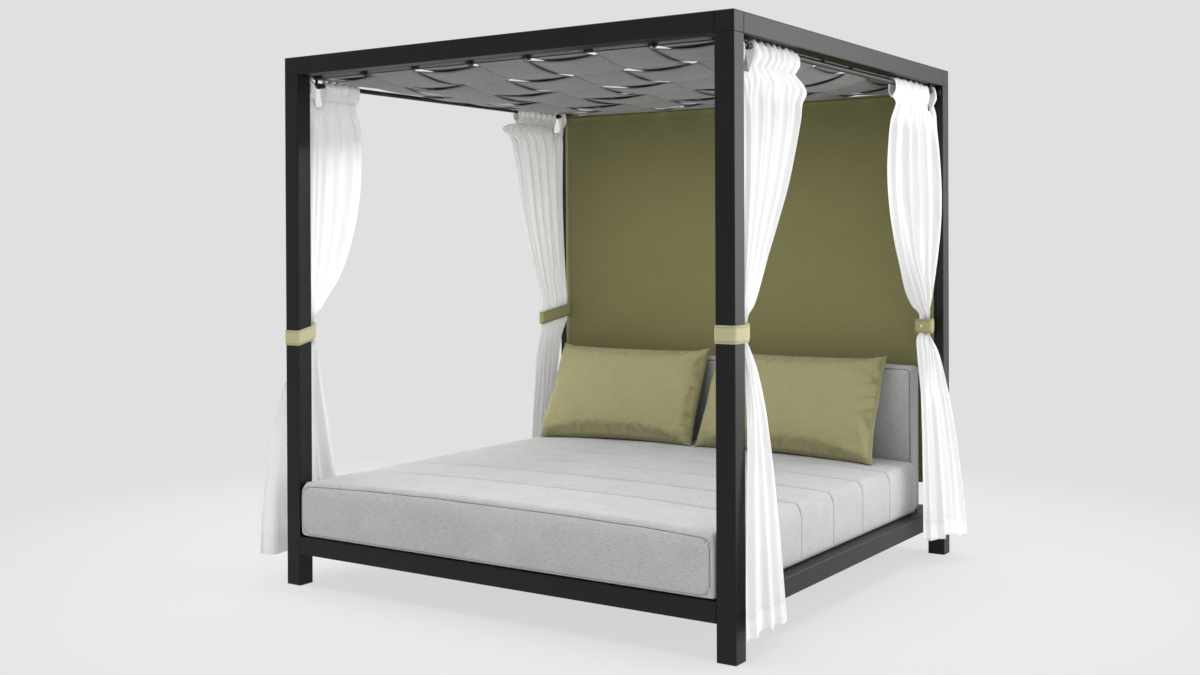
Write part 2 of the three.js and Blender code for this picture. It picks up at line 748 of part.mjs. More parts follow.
function flipped(geometry) {
  const index = geometry.index.array;
  for (let first = 0; first < index.length; first += 3) {
    [index[first + 1], index[first + 2]] = [index[first + 2], index[first + 1]];
  }
  return geometry;
}

// Curtains: one grid of points a curtain, from the back of its rod pocket over the rod to the hem
function curtainRows(corner) {
  const { end, header, waist, tieRise, tieZ, edge, hemReach, hemFrom, hemZ } = corner;
  const start = hookFromPost + hookPlateLength / 2 + pocketFromHook;
  const rodX = postCentreX;
  const waistX = tieCentreX(end);
  const stitchZ = curtainRodZ - pocketDrop;
  const halfBand = tieHeight / 2 + Math.abs(tieRise) / 2 + bundleClearance * 2;
  const foldInTie = (distance) => tieHalfAt(corner, distance) - bundleClearance - curtainThickness / 2;
  const nearFold = foldInTie(curtainFromPost);
  const farFold = foldInTie(waist);
  const row = (z, from, to, nearX, farX, folds) => ({ z, from, to, nearX, farX, folds });
  const pocket = (dx, z, fold) => row(z, start, header, rodX + dx, rodX + dx, [fold, fold]);
  const upper = upperRowShares.map((share, index) => {
    const x = mix(rodX, waistX, share) + openOutset * upperOutsetShares[index];
    const from = mix(start, curtainFromPost, upperNearShares[index]);
    const to = mix(waist, header, edge[index]);
    return row(mix(stitchZ, tieZ + halfBand, share), from, to, x, x,
      [mix(openFoldDepth, nearFold, share), mix(openFoldDepth, farFold, share)]);
  });
  const waistRows = [halfBand, -halfBand].map((dz) => {
    return row(tieZ + dz, curtainFromPost, waist, waistX, waistX, [nearFold, farFold]);
  });
  const lower = lowerRowShares.map((share, index) => {
    const flare = lowerFlareShares[index];
    return row(
      mix(tieZ - halfBand, hemZ, share),
      mix(curtainFromPost, hemFrom, lowerNearShares[index]),
      mix(waist, curtainFromPost + hemSpread, share),
      mix(waistX, hemReach - hemFoldDepth, flare),
      mix(waistX, frameWidth / 2 + hemInnerOutset + hemFoldDepth, flare),
      [mix(nearFold, hemFoldDepth, share), mix(farFold, hemFoldDepth, share)],
    );
  });
  return [
    pocket(pocketSeamHalfGap, stitchZ, headerFoldDepth),
    pocket(pocketRadius, curtainRodZ, pocketRuffle),
    pocket(0, curtainRodZ + pocketRadius + pocketRuffle, 0),
    pocket(-pocketRadius, curtainRodZ, pocketRuffle),
    pocket(-pocketSeamHalfGap, stitchZ, headerFoldDepth),
    ...upper,
    ...waistRows,
    ...lower,
  ];
}

function addCurtains() {
  corners.forEach((corner) => {
    const { name, side, end } = corner;
    const columns = curtainFolds * curtainStepsPerFold;
    const grid = curtainRows(corner).map((row) => Array.from({ length: columns + 1 }, (_, column) => {
      const share = column / columns;
      const fold = row.folds[0] + (row.folds[1] - row.folds[0]) * share;
      const wave = fold * Math.sin(2 * Math.PI * curtainFolds * share);
      const x = row.nearX + (row.farX - row.nearX) * share + wave;
      const y = postInnerY - row.from - (row.to - row.from) * share;
      return new THREE.Vector3(side * x, end * y, row.z);
    }));
    addPiece(`curtain_${name}`, thickened(grid, curtainThickness), 'curtain');
  });
}

// Mattress: rings across its width, one at each station along its length
function mattressRing(y, inset, lift, crown) {
  const half = mattressHalfWidth - inset;
  const top = deckRest + mattressEdgeHeight - inset;
  const bottom = deckRest + lift;
  const cornerShare = 1 - Math.SQRT1_2;
  const low = mattressBottomRadius;
  const high = mattressTopRadius;
  const rightSide = [
    [half - low, bottom],
    [half - low * cornerShare, bottom + low * cornerShare],
    [half, bottom + low],
    [half, top - high],
    [half - high * cornerShare, top - high * cornerShare],
    [half - high, top],
  ];
  const across = crownShares.map((share) => [share * (half - high), top + crown * (1 - share ** 2)]);
  const leftSide = rightSide.map(([x, z]) => [-x, z]).reverse();
  return [...rightSide, ...across, ...leftSide].map(([x, z]) => new THREE.Vector3(x, y, z));
}

// Offsets along and inwards for the rounding at the end of a cushion, from its end face inwards
function endRounding(radius) {
  return Array.from({ length: endSteps + 1 }, (_, step) => {
    const angle = (quarterTurn * step * degree) / endSteps;
    return { along: radius * (1 - Math.cos(angle)), inset: radius * (1 - Math.sin(angle)) };
  });
}

function addMattress() {
  const firstSeam = mattressFront + firstSeamFromFront;
  const lastSeam = mattressRear - lastSeamFromRear;
  const seams = Array.from({ length: seamCount }, (_, index) => {
    return firstSeam + ((lastSeam - firstSeam) * index) / (seamCount - 1);
  });
  const borders = [mattressFront, ...seams, mattressRear];
  const rings = [];
  const ends = endRounding(mattressEndRadius);
  ends.forEach(({ along, inset }) => {
    rings.push(mattressRing(mattressFront + along, inset, inset, mattressCrown));
  });
  for (let index = 1; index < borders.length; index += 1) {
    const middle = (borders[index - 1] + borders[index]) / 2;
    rings.push(mattressRing(middle, 0, 0, mattressCrown + channelCrown));
    if (index < borders.length - 1) {
      rings.push(mattressRing(borders[index] - seamHalfWidth, 0, 0, mattressCrown));
      rings.push(mattressRing(borders[index], seamDepth, 0, mattressCrown));
      rings.push(mattressRing(borders[index] + seamHalfWidth, 0, 0, mattressCrown));
    }
  }
  [...ends].reverse().forEach(({ along, inset }) => {
    rings.push(mattressRing(mattressRear - along, inset, inset, mattressCrown));
  });
  addPiece('mattress', lofted(rings), 'cushion');
}

// Backrest: upright rings, one at each station along its width
function addBackrest() {
  const halfY = backrestThickness / 2;
  const halfZ = backrestHeight / 2;
  const ringAt = (x, inset, crown) => {
    const flatZ = halfZ - backrestCornerRadius;
    const outline = roundedOutline(halfY - inset, halfZ - inset, backrestCornerRadius - inset, endSteps);
    const perCorner = endSteps + 1;
    const bulge = (sign) => crownShares.map((share) => new THREE.Vector2(
      sign * (halfY - inset + crown * (1 - share ** 2)),
      -sign * share * flatZ,
    ));
    const points = [
      ...outline.slice(0, 2 * perCorner),
      ...bulge(-1),
      ...outline.slice(2 * perCorner),
      ...bulge(1),
    ];
    return points.map((point) => new THREE.Vector3(x, backrestCentreY + point.x, deckRest + halfZ + point.y));
  };
  const ends = endRounding(backrestEndRadius);
  const rings = [
    ...ends.map(({ along, inset }) => ringAt(-backrestHalfWidth + along, inset, 0)),
    ...backrestStationShares.map((share) => ringAt(share * backrestHalfWidth, 0, backrestCrown)),
    ...[...ends].reverse().map(({ along, inset }) => ringAt(backrestHalfWidth - along, inset, 0)),
  ];
  addPiece('backrest', lofted(rings), 'cushion');
}

// Pillows: a front and a back face that meet along the drawn-in edges
function pillowBody(centreX) {
  const place = (index, count) => -Math.cos((Math.PI * index) / count);
  const lean = pillowLean * degree;
  const footY = backrestFront - pillowFootFromBackrest;
  const footZ = deckRest + mattressEdgeHeight + mattressCrown + channelCrown + pillowFootRise;
  const points = [];
  const indexOf = new Map();
  const pointIndex = (face, row, column) => {
    const onEdge = row === 0 || row === pillowRows || column === 0 || column === pillowColumns;
    const key = `${onEdge ? 0 : face},${row},${column}`;
    if (!indexOf.has(key)) {
      const across = place(column, pillowColumns);
      const up = place(row, pillowRows);
      const x = across * (pillowWidth / 2 - pillowPinch * (1 - up ** 2));
      const height = pillowHeight / 2 + up * (pillowHeight / 2 - pillowPinch * (1 - across ** 2));
      const fullness = ((1 - across ** 2) * (1 - up ** 2)) ** pillowRoundnessShare;
      const depth = onEdge ? 0 : (face * fullness * pillowThickness) / 2;
      indexOf.set(key, points.length);
      points.push(new THREE.Vector3(
        centreX + x,
        footY + height * Math.sin(lean) + depth * Math.cos(lean),
        footZ + height * Math.cos(lean) - depth * Math.sin(lean),
      ));
    }
    return indexOf.get(key);
  };
  const triangles = [];
  [1, -1].forEach((face) => {
    for (let row = 0; row < pillowRows; row += 1) {
      for (let column = 0; column < pillowColumns; column += 1) {
        const a = pointIndex(face, row, column);
        const b = pointIndex(face, row, column + 1);
        const c = pointIndex(face, row + 1, column + 1);
        const d = pointIndex(face, row + 1, column);
        const sameHalf = (row < pillowRows / 2) === (column < pillowColumns / 2);
        const pair = sameHalf ? [[a, b, c], [a, c, d]] : [[a, b, d], [b, c, d]];
        pair.forEach(([p, q, r]) => triangles.push(face > 0 ? [p, q, r] : [p, r, q]));
      }
    }
  });
  return bodyFrom(points, triangles);
}

addCorners();
addBeamsAndRails();
addDeck();
addCanopyRods();
addStraps();
addRearPanel();
addCurtainRods();
addCurtains();
addTies();
addMattress();
addBackrest();
addPiece('pillow_left', pillowBody(pillowLeftCentre), 'pillow');
addPiece('pillow_right', pillowBody(pillowRightCentre), 'pillow');

export default daybed;
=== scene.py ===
# Outdoor daybed with a woven canopy: the cloth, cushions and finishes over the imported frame.
# Metres, +Z up, foot end at -Y, origin on the floor under the middle of the frame.
import bpy
import math
from functools import partial
from mathutils import Matrix, Vector, noise


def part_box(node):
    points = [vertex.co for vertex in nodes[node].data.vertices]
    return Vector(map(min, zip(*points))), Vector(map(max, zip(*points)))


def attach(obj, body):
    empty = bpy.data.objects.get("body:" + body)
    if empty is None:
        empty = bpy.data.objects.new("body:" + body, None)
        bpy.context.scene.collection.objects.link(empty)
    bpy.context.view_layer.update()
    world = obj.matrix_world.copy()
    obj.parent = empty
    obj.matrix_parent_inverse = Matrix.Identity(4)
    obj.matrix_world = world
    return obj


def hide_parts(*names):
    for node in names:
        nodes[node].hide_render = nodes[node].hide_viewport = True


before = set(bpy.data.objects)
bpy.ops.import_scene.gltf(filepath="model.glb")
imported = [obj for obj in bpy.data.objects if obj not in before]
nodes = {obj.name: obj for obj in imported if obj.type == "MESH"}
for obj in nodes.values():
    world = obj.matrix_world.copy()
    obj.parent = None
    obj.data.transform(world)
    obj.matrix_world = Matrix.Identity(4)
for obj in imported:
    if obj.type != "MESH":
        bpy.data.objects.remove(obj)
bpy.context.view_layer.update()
cornerNames = ["front_left", "front_right", "back_right", "back_left"]

# places that the frame gives
postLow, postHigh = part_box("post_front_right")
postInner, postWidth = postLow.x, postHigh.x - postLow.x
rodLow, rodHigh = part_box("curtain_rod_right")
rodPlane = (rodLow.x + rodHigh.x) / 2
rodHeight = (rodLow.z + rodHigh.z) / 2


# small tools

def clamp(value, low=0.0, high=1.0):
    return max(low, min(high, value))


def smooth(value):
    t = clamp(value)
    return t * t * (3 - 2 * t)


def mix(a, b, share):
    return a + (b - a) * share


def bell(distance, width):
    # 1 at no distance, dying away softly over about the width
    return math.exp(-(distance / width) ** 2)


def ridge(distance, half):
    # 1 at no distance, falling straight to 0 at half
    return max(0.0, 1 - abs(distance) / half)


def wander(x, y, z):
    # smooth noise from -1 to 1, the same in every run
    return noise.noise(Vector((x, y, z)))


def keyed(keys, place):
    # a smooth curve through (place, value) keys that rise in place
    if place <= keys[0][0]:
        return keys[0][1]
    if place >= keys[-1][0]:
        return keys[-1][1]

    def slope(i):
        before, after = keys[max(i - 1, 0)], keys[min(i + 1, len(keys) - 1)]
        return (after[1] - before[1]) / (after[0] - before[0])

    i = next(i for i in range(len(keys) - 1) if place <= keys[i + 1][0])
    (x0, y0), (x1, y1) = keys[i], keys[i + 1]
    h = x1 - x0
    t = (place - x0) / h
    return ((2 * t ** 3 - 3 * t ** 2 + 1) * y0 + (t ** 3 - 2 * t ** 2 + t) * h * slope(i)
            + (3 * t ** 2 - 2 * t ** 3) * y1 + (t ** 3 - t ** 2) * h * slope(i + 1))


def linked(name, data):
    obj = bpy.data.objects.new(name, data)
    bpy.context.scene.collection.objects.link(obj)
    return obj


def meshObject(name, points, faces):
    mesh = bpy.data.meshes.new(name)
    mesh.from_pydata([tuple(p) for p in points], [], faces)
    mesh.polygons.foreach_set("use_smooth", [True] * len(mesh.polygons))
    mesh.update()
    return linked(name, mesh)


def gridFaces(rows, columns, closed=False):
    last = columns if closed else columns - 1
    return [(r * columns + c, r * columns + (c + 1) % columns,
             (r + 1) * columns + (c + 1) % columns, (r + 1) * columns + c)
            for r in range(rows - 1) for c in range(last)]


def addFloats(obj, name, values):
    obj.data.attributes.new(name, "FLOAT", "POINT").data.foreach_set("value", values)


def addUv(obj, places):
    # cloth coordinates in metres, one pair a vertex
    flat = [number for loop in obj.data.loops for number in places[loop.vertex_index]]
    obj.data.uv_layers.new(name="cloth").data.foreach_set("uv", flat)


def withModifiers(obj):
    # the piece as a plain mesh, with its modifiers applied and removed
    bpy.context.view_layer.update()
    evaluated = obj.evaluated_get(bpy.context.evaluated_depsgraph_get())
    mesh = bpy.data.meshes.new_from_object(evaluated)
    obj.modifiers.clear()
    old = obj.data
    obj.data = mesh
    bpy.data.meshes.remove(old)
    mesh.name = obj.name
    return obj


def thicken(obj, thickness):
    # half the thickness to each side of the sheet
    solid = obj.modifiers.new("thickness", "SOLIDIFY")
    solid.thickness = thickness
    solid.offset = 0.0
    withModifiers(obj)


def finished(obj, material, body, *replaced, slot=None):
    obj.data.materials.clear()
    obj.data.materials.append(material)
    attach(obj, body)
    if replaced:
        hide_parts(*replaced)


# node tools

def groupTree(kind, name, inputs, outputs):
    # a node group whose inputs and outputs are given as label and kind of socket
    tree = bpy.data.node_groups.new(name, kind)
    for way, sockets in (("INPUT", inputs), ("OUTPUT", outputs)):
        for label, socketKind in sockets.items():
            tree.interface.new_socket(name=label, in_out=way, socket_type="NodeSocket" + socketKind)
    given, out = tree.nodes.new("NodeGroupInput"), tree.nodes.new("NodeGroupOutput")
    return tree, given.outputs, out.inputs


def feed(tree, socket, value):
    # the value is a number, or a socket of another node
    if hasattr(value, "is_linked"):
        tree.links.new(value, socket)
    else:
        socket.default_value = value


def feedAll(tree, node, values):
    for label, value in values.items():
        feed(tree, node.inputs[label], value)


def nodeOf(tree, kind, values=None, **settings):
    # a node with these settings, and its inputs fed by name or number
    node = tree.nodes.new(kind)
    for label, value in settings.items():
        setattr(node, label, value)
    feedAll(tree, node, values or {})
    return node


def calc(tree, operation, *values, clamped=False):
    return nodeOf(tree, "ShaderNodeMath", dict(enumerate(values)), operation=operation,
                  use_clamp=clamped).outputs[0]


def noiseOf(tree, vector, scale, detail, rough):
    # the scale is one number, or three where the noise is drawn out
    if isinstance(scale, tuple):
        vector = nodeOf(tree, "ShaderNodeVectorMath", {0: vector, 1: scale}, operation="MULTIPLY").outputs[0]
        scale = 1.0
    return nodeOf(tree, "ShaderNodeTexNoise", dict(Vector=vector, Scale=scale, Detail=detail,
                                                   Roughness=rough)).outputs["Fac"]


def ranged(tree, value, low, high, toLow=0.0, toHigh=1.0):
    return nodeOf(tree, "ShaderNodeMapRange", {"Value": value, "From Min": low, "From Max": high,
                                               "To Min": toLow, "To Max": toHigh}).outputs["Result"]


def mixColor(tree, share, a, b, blend="MIX"):
    return nodeOf(tree, "ShaderNodeMix", {0: share, 6: a, 7: b}, data_type="RGBA",
                  blend_type=blend).outputs[2]


def blendInto(tree, share, first, second, output):
    # the output shows the first shader, mixed by the share into the second
    blend = nodeOf(tree, "ShaderNodeMixShader", {0: share, 1: first, 2: second})
    feed(tree, tree.nodes[output].inputs["Surface"], blend.outputs[0])


def makeClothGroup():
    # crossed threads with uneven yarn: Coordinates in metres, Thread is one thread's pitch
    tree, given, out = groupTree(
        "ShaderNodeTree", "wovenCloth",
        dict(Coordinates="Vector", Light="Color", Dark="Color", Thread="Float", Melange="Float",
             Streak="Float"),
        dict(Color="Color", Height="Float"))
    m = partial(calc, tree)
    vector = given["Coordinates"]
    # yarn that runs each way shows as short streaks
    warp = noiseOf(tree, vector, (70, 700, 420), 2.0, 0.5)
    weft = noiseOf(tree, vector, (700, 70, 420), 2.0, 0.5)
    cloud = noiseOf(tree, vector, 9.0, 3.0, 0.5)
    slubWarp = noiseOf(tree, vector, (70, 260, 230), 3.0, 0.6)
    slubWeft = noiseOf(tree, vector, (260, 110, 180), 3.0, 0.6)
    slubs = m("MULTIPLY_ADD", slubWeft, 0.35, m("MULTIPLY", slubWarp, 0.65))
    yarn = m("MULTIPLY", m("ADD", warp, weft), 0.25)
    streaks = m("MULTIPLY_ADD", slubs, 0.5, yarn)
    strong = ranged(tree, streaks, 0.40, 0.60)
    soft = m("MULTIPLY_ADD", m("SUBTRACT", strong, 0.5), given["Streak"], 0.5)
    tone = m("MULTIPLY_ADD", m("SUBTRACT", cloud, 0.5), given["Melange"], soft, clamped=True)
    feed(tree, out["Color"], mixColor(tree, tone, given["Dark"], given["Light"]))
    # the weave itself, over and under at the thread's pitch
    turns = m("DIVIDE", math.pi, given["Thread"])
    parts = nodeOf(tree, "ShaderNodeSeparateXYZ", {0: vector})
    waves = [m("SINE", m("MULTIPLY", parts.outputs[axis], turns)) for axis in range(3)]
    crossed = m("MULTIPLY", m("ADD", waves[0], waves[2]), waves[1])
    feed(tree, out["Height"], m("MULTIPLY_ADD", crossed, 0.3, m("ADD", streaks, 0.2)))
    return tree


def makeSeamShadeGroup():
    # darkens the colour along a line of thread, and paints shade into a sewn groove, a crease's valley and a
    # strap's edge, from an attribute of 0 to 1
    tree, given, out = groupTree("ShaderNodeTree", "seamShade",
                                 dict(Color="Color", Seam="Float", Strength="Float"), dict(Color="Color"))
    share = calc(tree, "MULTIPLY", given["Seam"], given["Strength"], clamped=True)
    dark = mixColor(tree, 1.0, given["Color"], (0.16, 0.16, 0.16, 1), "MULTIPLY")
    feed(tree, out["Color"], mixColor(tree, share, given["Color"], dark))
    return tree


def makeCoatGroup():
    # sprayed powder: fine orange peel, faint clouding of colour and gloss
    tree, given, out = groupTree(
        "ShaderNodeTree", "powderCoat",
        dict(Coordinates="Vector", Base="Color", Roughness="Float", Grain="Float"),
        dict(Color="Color", Roughness="Float", Height="Float"))
    cloud = noiseOf(tree, given["Coordinates"], 6.0, 4.0, 0.6)
    fine = noiseOf(tree, given["Coordinates"], given["Grain"], 2.0, 0.5)
    lighter = mixColor(tree, 1.0, given["Base"], (1.28, 1.28, 1.3, 1), "MULTIPLY")
    feed(tree, out["Color"], mixColor(tree, ranged(tree, cloud, 0.35, 0.7), given["Base"], lighter))
    feed(tree, out["Roughness"],
         calc(tree, "ADD", given["Roughness"], ranged(tree, fine, 0.3, 0.7, -0.05, 0.05)))
    feed(tree, out["Height"], fine)
    return tree


clothGroup = makeClothGroup()
seamShadeGroup = makeSeamShadeGroup()
coatGroup = makeCoatGroup()


def newMaterial(name):
    material = bpy.data.materials.new(name)
    material.use_nodes = True
    tree = material.node_tree
    return material, tree, tree.nodes["Principled BSDF"]


def groupNode(tree, group, **values):
    return nodeOf(tree, "ShaderNodeGroup", values, node_tree=group).outputs


def attributeOf(tree, name):
    return nodeOf(tree, "ShaderNodeAttribute", attribute_name=name).outputs["Fac"]


def clothPlace(tree, useUv):
    # cloth coordinates in metres along the cut sheet, or the object's own
    if useUv:
        return nodeOf(tree, "ShaderNodeUVMap", uv_map="cloth").outputs[0]
    return tree.nodes.new("ShaderNodeTexCoord").outputs["Object"]


def bumpInto(tree, shader, height, strength, distance):
    bump = nodeOf(tree, "ShaderNodeBump", dict(Strength=strength, Distance=distance, Height=height))
    feed(tree, shader.inputs["Normal"], bump.outputs[0])


def clothInto(tree, shader, light, dark, thread, melange, streak, seamShadeStrength, useUv, bump, bumpDistance):
    # woven colour and relief into the shader, darker along seams, with painted shade in grooves, crease
    # valleys and strap edges
    weave = groupNode(tree, clothGroup, Coordinates=clothPlace(tree, useUv), Light=light, Dark=dark,
                      Thread=thread, Melange=melange, Streak=streak)
    seam = groupNode(tree, seamShadeGroup, Color=weave["Color"], Seam=attributeOf(tree, "seam"),
                     Strength=seamShadeStrength)
    feed(tree, shader.inputs["Base Color"], seam["Color"])
    bumpInto(tree, shader, weave["Height"], bump, bumpDistance)
    return seam["Color"]


def clothMaterial(name, light, dark, thread=0.0012, melange=0.3, streak=0.6, sheen=0.1,
                  seamShadeStrength=0.6, useUv=False, bump=0.3):
    material, tree, shader = newMaterial(name)
    clothInto(tree, shader, light, dark, thread, melange, streak, seamShadeStrength, useUv, bump,
              bumpDistance=0.0008)
    feedAll(tree, shader, {"Roughness": 0.9, "Sheen Weight": sheen, "Specular IOR Level": 0.25})
    return material


def coatMaterial(name, base, roughness, grain=900.0, level=0.4, bump=0.12):
    material, tree, shader = newMaterial(name)
    coat = groupNode(tree, coatGroup, Coordinates=clothPlace(tree, False), Base=base, Roughness=roughness,
                     Grain=grain)
    feedAll(tree, shader, {"Base Color": coat["Color"], "Roughness": coat["Roughness"],
                           "Specular IOR Level": level})
    bumpInto(tree, shader, coat["Height"], bump, distance=0.0004)
    return material


def sheerMaterial(name, light, dark, thread, through, throughHem):
    # thin white voile: some light comes through, more where it is one layer
    material, tree, shader = newMaterial(name)
    colour = clothInto(tree, shader, light, dark, thread, melange=0.15, streak=0.35, seamShadeStrength=0.07,
                       useUv=True, bump=0.15, bumpDistance=0.0005)
    feedAll(tree, shader, {"Roughness": 0.85, "Specular IOR Level": 0.15})
    sheer = nodeOf(tree, "ShaderNodeBsdfTranslucent", dict(Color=colour))
    share = ranged(tree, attributeOf(tree, "hem"), 0.0, 1.0, through, throughHem)
    blendInto(tree, share, shader.outputs[0], sheer.outputs[0], "Material Output")
    return material


finishes = dict(
    frameCoat=coatMaterial("frameCoat", (0.0060, 0.0060, 0.0064, 1), 0.40, level=0.24),
    blackCoat=coatMaterial("blackCoat", (0.006, 0.006, 0.006, 1), 0.45, level=0.25),
    rodCoat=coatMaterial("rodCoat", (0.018, 0.018, 0.019, 1), 0.38, level=0.35),
    footPlastic=coatMaterial("footPlastic", (0.008, 0.008, 0.008, 1), 0.55, grain=400.0, bump=0.2),
    canopyWeave=clothMaterial("canopyWeave", (0.222, 0.220, 0.216, 1), (0.105, 0.103, 0.102, 1),
                              thread=0.0024, melange=0.25, streak=0.9, useUv=True, bump=0.5),
    panelCloth=clothMaterial("panelCloth", (0.210, 0.199, 0.086, 1), (0.149, 0.140, 0.056, 1),
                             streak=0.7, useUv=True),
    cushionCloth=clothMaterial("cushionCloth", (0.508, 0.508, 0.514, 1), (0.308, 0.308, 0.314, 1),
                               thread=0.0014, melange=0.45, streak=0.75, sheen=0.15, seamShadeStrength=0.8,
                               bump=0.35),
    pillowCloth=clothMaterial("pillowCloth", (0.352, 0.332, 0.170, 1), (0.255, 0.239, 0.116, 1),
                              melange=0.35, sheen=0.15),
    tieCloth=clothMaterial("tieCloth", (0.49, 0.466, 0.275, 1), (0.39, 0.369, 0.207, 1), useUv=True),
    rearTieCloth=clothMaterial("rearTieCloth", (0.345, 0.328, 0.158, 1), (0.262, 0.247, 0.108, 1),
                               useUv=True),
    studMetal=coatMaterial("studMetal", (0.55, 0.55, 0.53, 1), 0.30, level=0.7, bump=0.02),
    voile=sheerMaterial("voile", (0.905, 0.905, 0.905, 1), (0.870, 0.870, 0.870, 1), thread=0.0009,
                        through=0.34, throughHem=0.22),
)
print("finishes made:", len(finishes))


def withTree(obj, tree, values):
    # runs the tree on the object with these inputs and keeps the plain mesh
    modifier = obj.modifiers.new(tree.name, "NODES")
    modifier.node_group = tree
    for item in tree.interface.items_tree:
        if item.in_out == "INPUT":
            modifier[item.identifier] = values[item.name]
    return withModifiers(obj)


# woven canopy

canopy = dict(straps=7, gap=0.042, fieldInset=0.017, sag=0.063, flatnessX=4.5, flatnessY=2.6, weave=0.0105,
              curl=0.004, thickness=0.0016, sewnBack=0.014, edgeTrim=0.018, slack=0.003, blendIn=0.05,
              rodGap=0.0006, samples=170, across=12)


def makeStrapTree():
    # one strap along X: out over a rod at each end, and over and under the crossing straps between
    numbers = ["Reach", "Width", "Pitch", "Parity", "Centre", "Sag", "Flatness Along", "Flatness Across",
               "Curl", "Weave", "Loop", "Slack", "Thickness", "Sewn Back", "Blend In", "Other Reach",
               "Rod Height", "Across Y"]
    tree, g, out = groupTree("GeometryNodeTree", "wovenStrap",
                             {**dict.fromkeys(numbers, "Float"), "Samples": "Int", "Columns": "Int",
                              "Material": "Material"}, dict(Geometry="Geometry"))
    m = partial(calc, tree)
    # the flat run's share of the strip, and where the painted shade along its long edges starts across it
    runShare, edgeShadeFrom, edgeShade = 0.93, 0.93, 0.7
    # half the rest of the strip goes round the rod, the other half back over the strap, this high on it
    turnShare, backRise = 0.5, 1.3
    # keeps the threads of neighbouring straps apart in the cloth's pattern
    patternShift = 3.0

    grid = nodeOf(tree, "GeometryNodeMeshGrid", {"Size X": 2, "Size Y": 2, "Vertices X": g["Samples"],
                                                 "Vertices Y": g["Columns"]})
    position = tree.nodes.new("GeometryNodeInputPosition").outputs[0]
    t, w = list(nodeOf(tree, "ShaderNodeSeparateXYZ", {0: position}).outputs)[:2]
    far = m("ABSOLUTE", t)
    inRun = m("MINIMUM", m("DIVIDE", far, runShare), 1.0)
    after = m("MAXIMUM", m("DIVIDE", m("SUBTRACT", far, runShare), 1 - runShare), 0.0)
    turn = m("MINIMUM", m("DIVIDE", after, turnShare), 1.0)
    back = m("MAXIMUM", m("DIVIDE", m("SUBTRACT", after, turnShare), 1 - turnShare), 0.0)
    angle = m("MULTIPLY_ADD", turn, math.pi, -math.pi / 2)
    along = m("MULTIPLY", inRun, g["Reach"])
    loopX = m("MULTIPLY", m("COSINE", angle), g["Loop"])
    alongAll = m("SUBTRACT", m("ADD", along, loopX), m("MULTIPLY", back, g["Sewn Back"]))
    wave = m("MULTIPLY", m("MULTIPLY", g["Weave"], g["Parity"]),
             m("COSINE", m("MULTIPLY", m("DIVIDE", alongAll, g["Pitch"]), math.pi)))
    nearEnd = m("DIVIDE", m("SUBTRACT", g["Reach"], m("MINIMUM", alongAll, g["Reach"])), g["Blend In"],
                clamped=True)
    eased = m("MULTIPLY", m("MULTIPLY", nearEnd, nearEnd), m("SUBTRACT", 3.0, m("MULTIPLY", nearEnd, 2.0)))
    level = m("SUBTRACT", m("MULTIPLY", wave, eased), m("ADD", g["Loop"], m("MULTIPLY", g["Slack"], eased)))
    # the turned-back end lies on the strap
    rise = m("MULTIPLY", m("SINE", angle), g["Loop"])
    onLoop = m("GREATER_THAN", after, 0.0)
    loopZ = m("ADD", m("MULTIPLY", rise, m("SUBTRACT", 1.0, back)),
              m("MULTIPLY", back, m("ADD", level, m("MULTIPLY", g["Thickness"], backRise))))
    z = m("ADD", m("MULTIPLY", level, m("SUBTRACT", 1.0, onLoop)), m("MULTIPLY", loopZ, onLoop))
    half = m("MULTIPLY", g["Width"], 0.5)
    acrossAll = m("MULTIPLY_ADD", w, half, g["Centre"])
    signed = m("MULTIPLY", m("SIGN", t), alongAll)

    def hanging(place, reach, flatness):
        # 1 in the middle and 0 at the rod, steep near the rod
        share = m("ABSOLUTE", m("DIVIDE", place, m("SUBTRACT", reach, g["Loop"])))
        return m("MAXIMUM", m("SUBTRACT", 1.0, m("POWER", share, flatness)), 0.0)

    sheet = m("MULTIPLY", hanging(alongAll, g["Reach"], g["Flatness Along"]),
              hanging(acrossAll, g["Other Reach"], g["Flatness Across"]))
    # each strap is a little hollow across its width, so its middle hangs lowest
    hollow = m("MULTIPLY", m("MULTIPLY", g["Curl"], m("SUBTRACT", 1.0, m("MULTIPLY", w, w))), eased)
    drop = m("ADD", m("MULTIPLY", g["Sag"], sheet), m("SUBTRACT", hollow, m("MULTIPLY", g["Curl"], 0.5)))
    height = m("ADD", g["Rod Height"], m("SUBTRACT", z, drop))
    alongX, alongY = (nodeOf(tree, "ShaderNodeCombineXYZ", {0: x, 1: y, 2: height}).outputs[0]
                      for x, y in ((signed, acrossAll), (acrossAll, signed)))
    pick = nodeOf(tree, "ShaderNodeMix", {0: g["Across Y"], 4: alongX, 5: alongY}, data_type="VECTOR")
    # cloth coordinates: threads run along the strap
    threads = nodeOf(tree, "ShaderNodeCombineXYZ", {
        0: m("MULTIPLY", t, g["Reach"]),
        1: m("MULTIPLY_ADD", w, half, m("MULTIPLY", g["Centre"], patternShift))}).outputs[0]
    # painted shade along each long edge of the strap, darkest at the edge, stored in the seam attribute
    shadedEdge = m("DIVIDE", m("SUBTRACT", m("ABSOLUTE", w), edgeShadeFrom), 1 - edgeShadeFrom, clamped=True)
    uv = nodeOf(tree, "GeometryNodeStoreNamedAttribute",
                dict(Geometry=grid.outputs["Mesh"], Name="cloth", Value=threads),
                data_type="FLOAT2", domain="CORNER")
    edge = nodeOf(tree, "GeometryNodeStoreNamedAttribute",
                  dict(Geometry=uv.outputs[0], Name="seam", Value=m("MULTIPLY", shadedEdge, edgeShade)),
                  data_type="FLOAT", domain="POINT")
    strip = nodeOf(tree, "GeometryNodeSetPosition",
                   dict(Geometry=edge.outputs[0], Position=pick.outputs[1])).outputs[0]
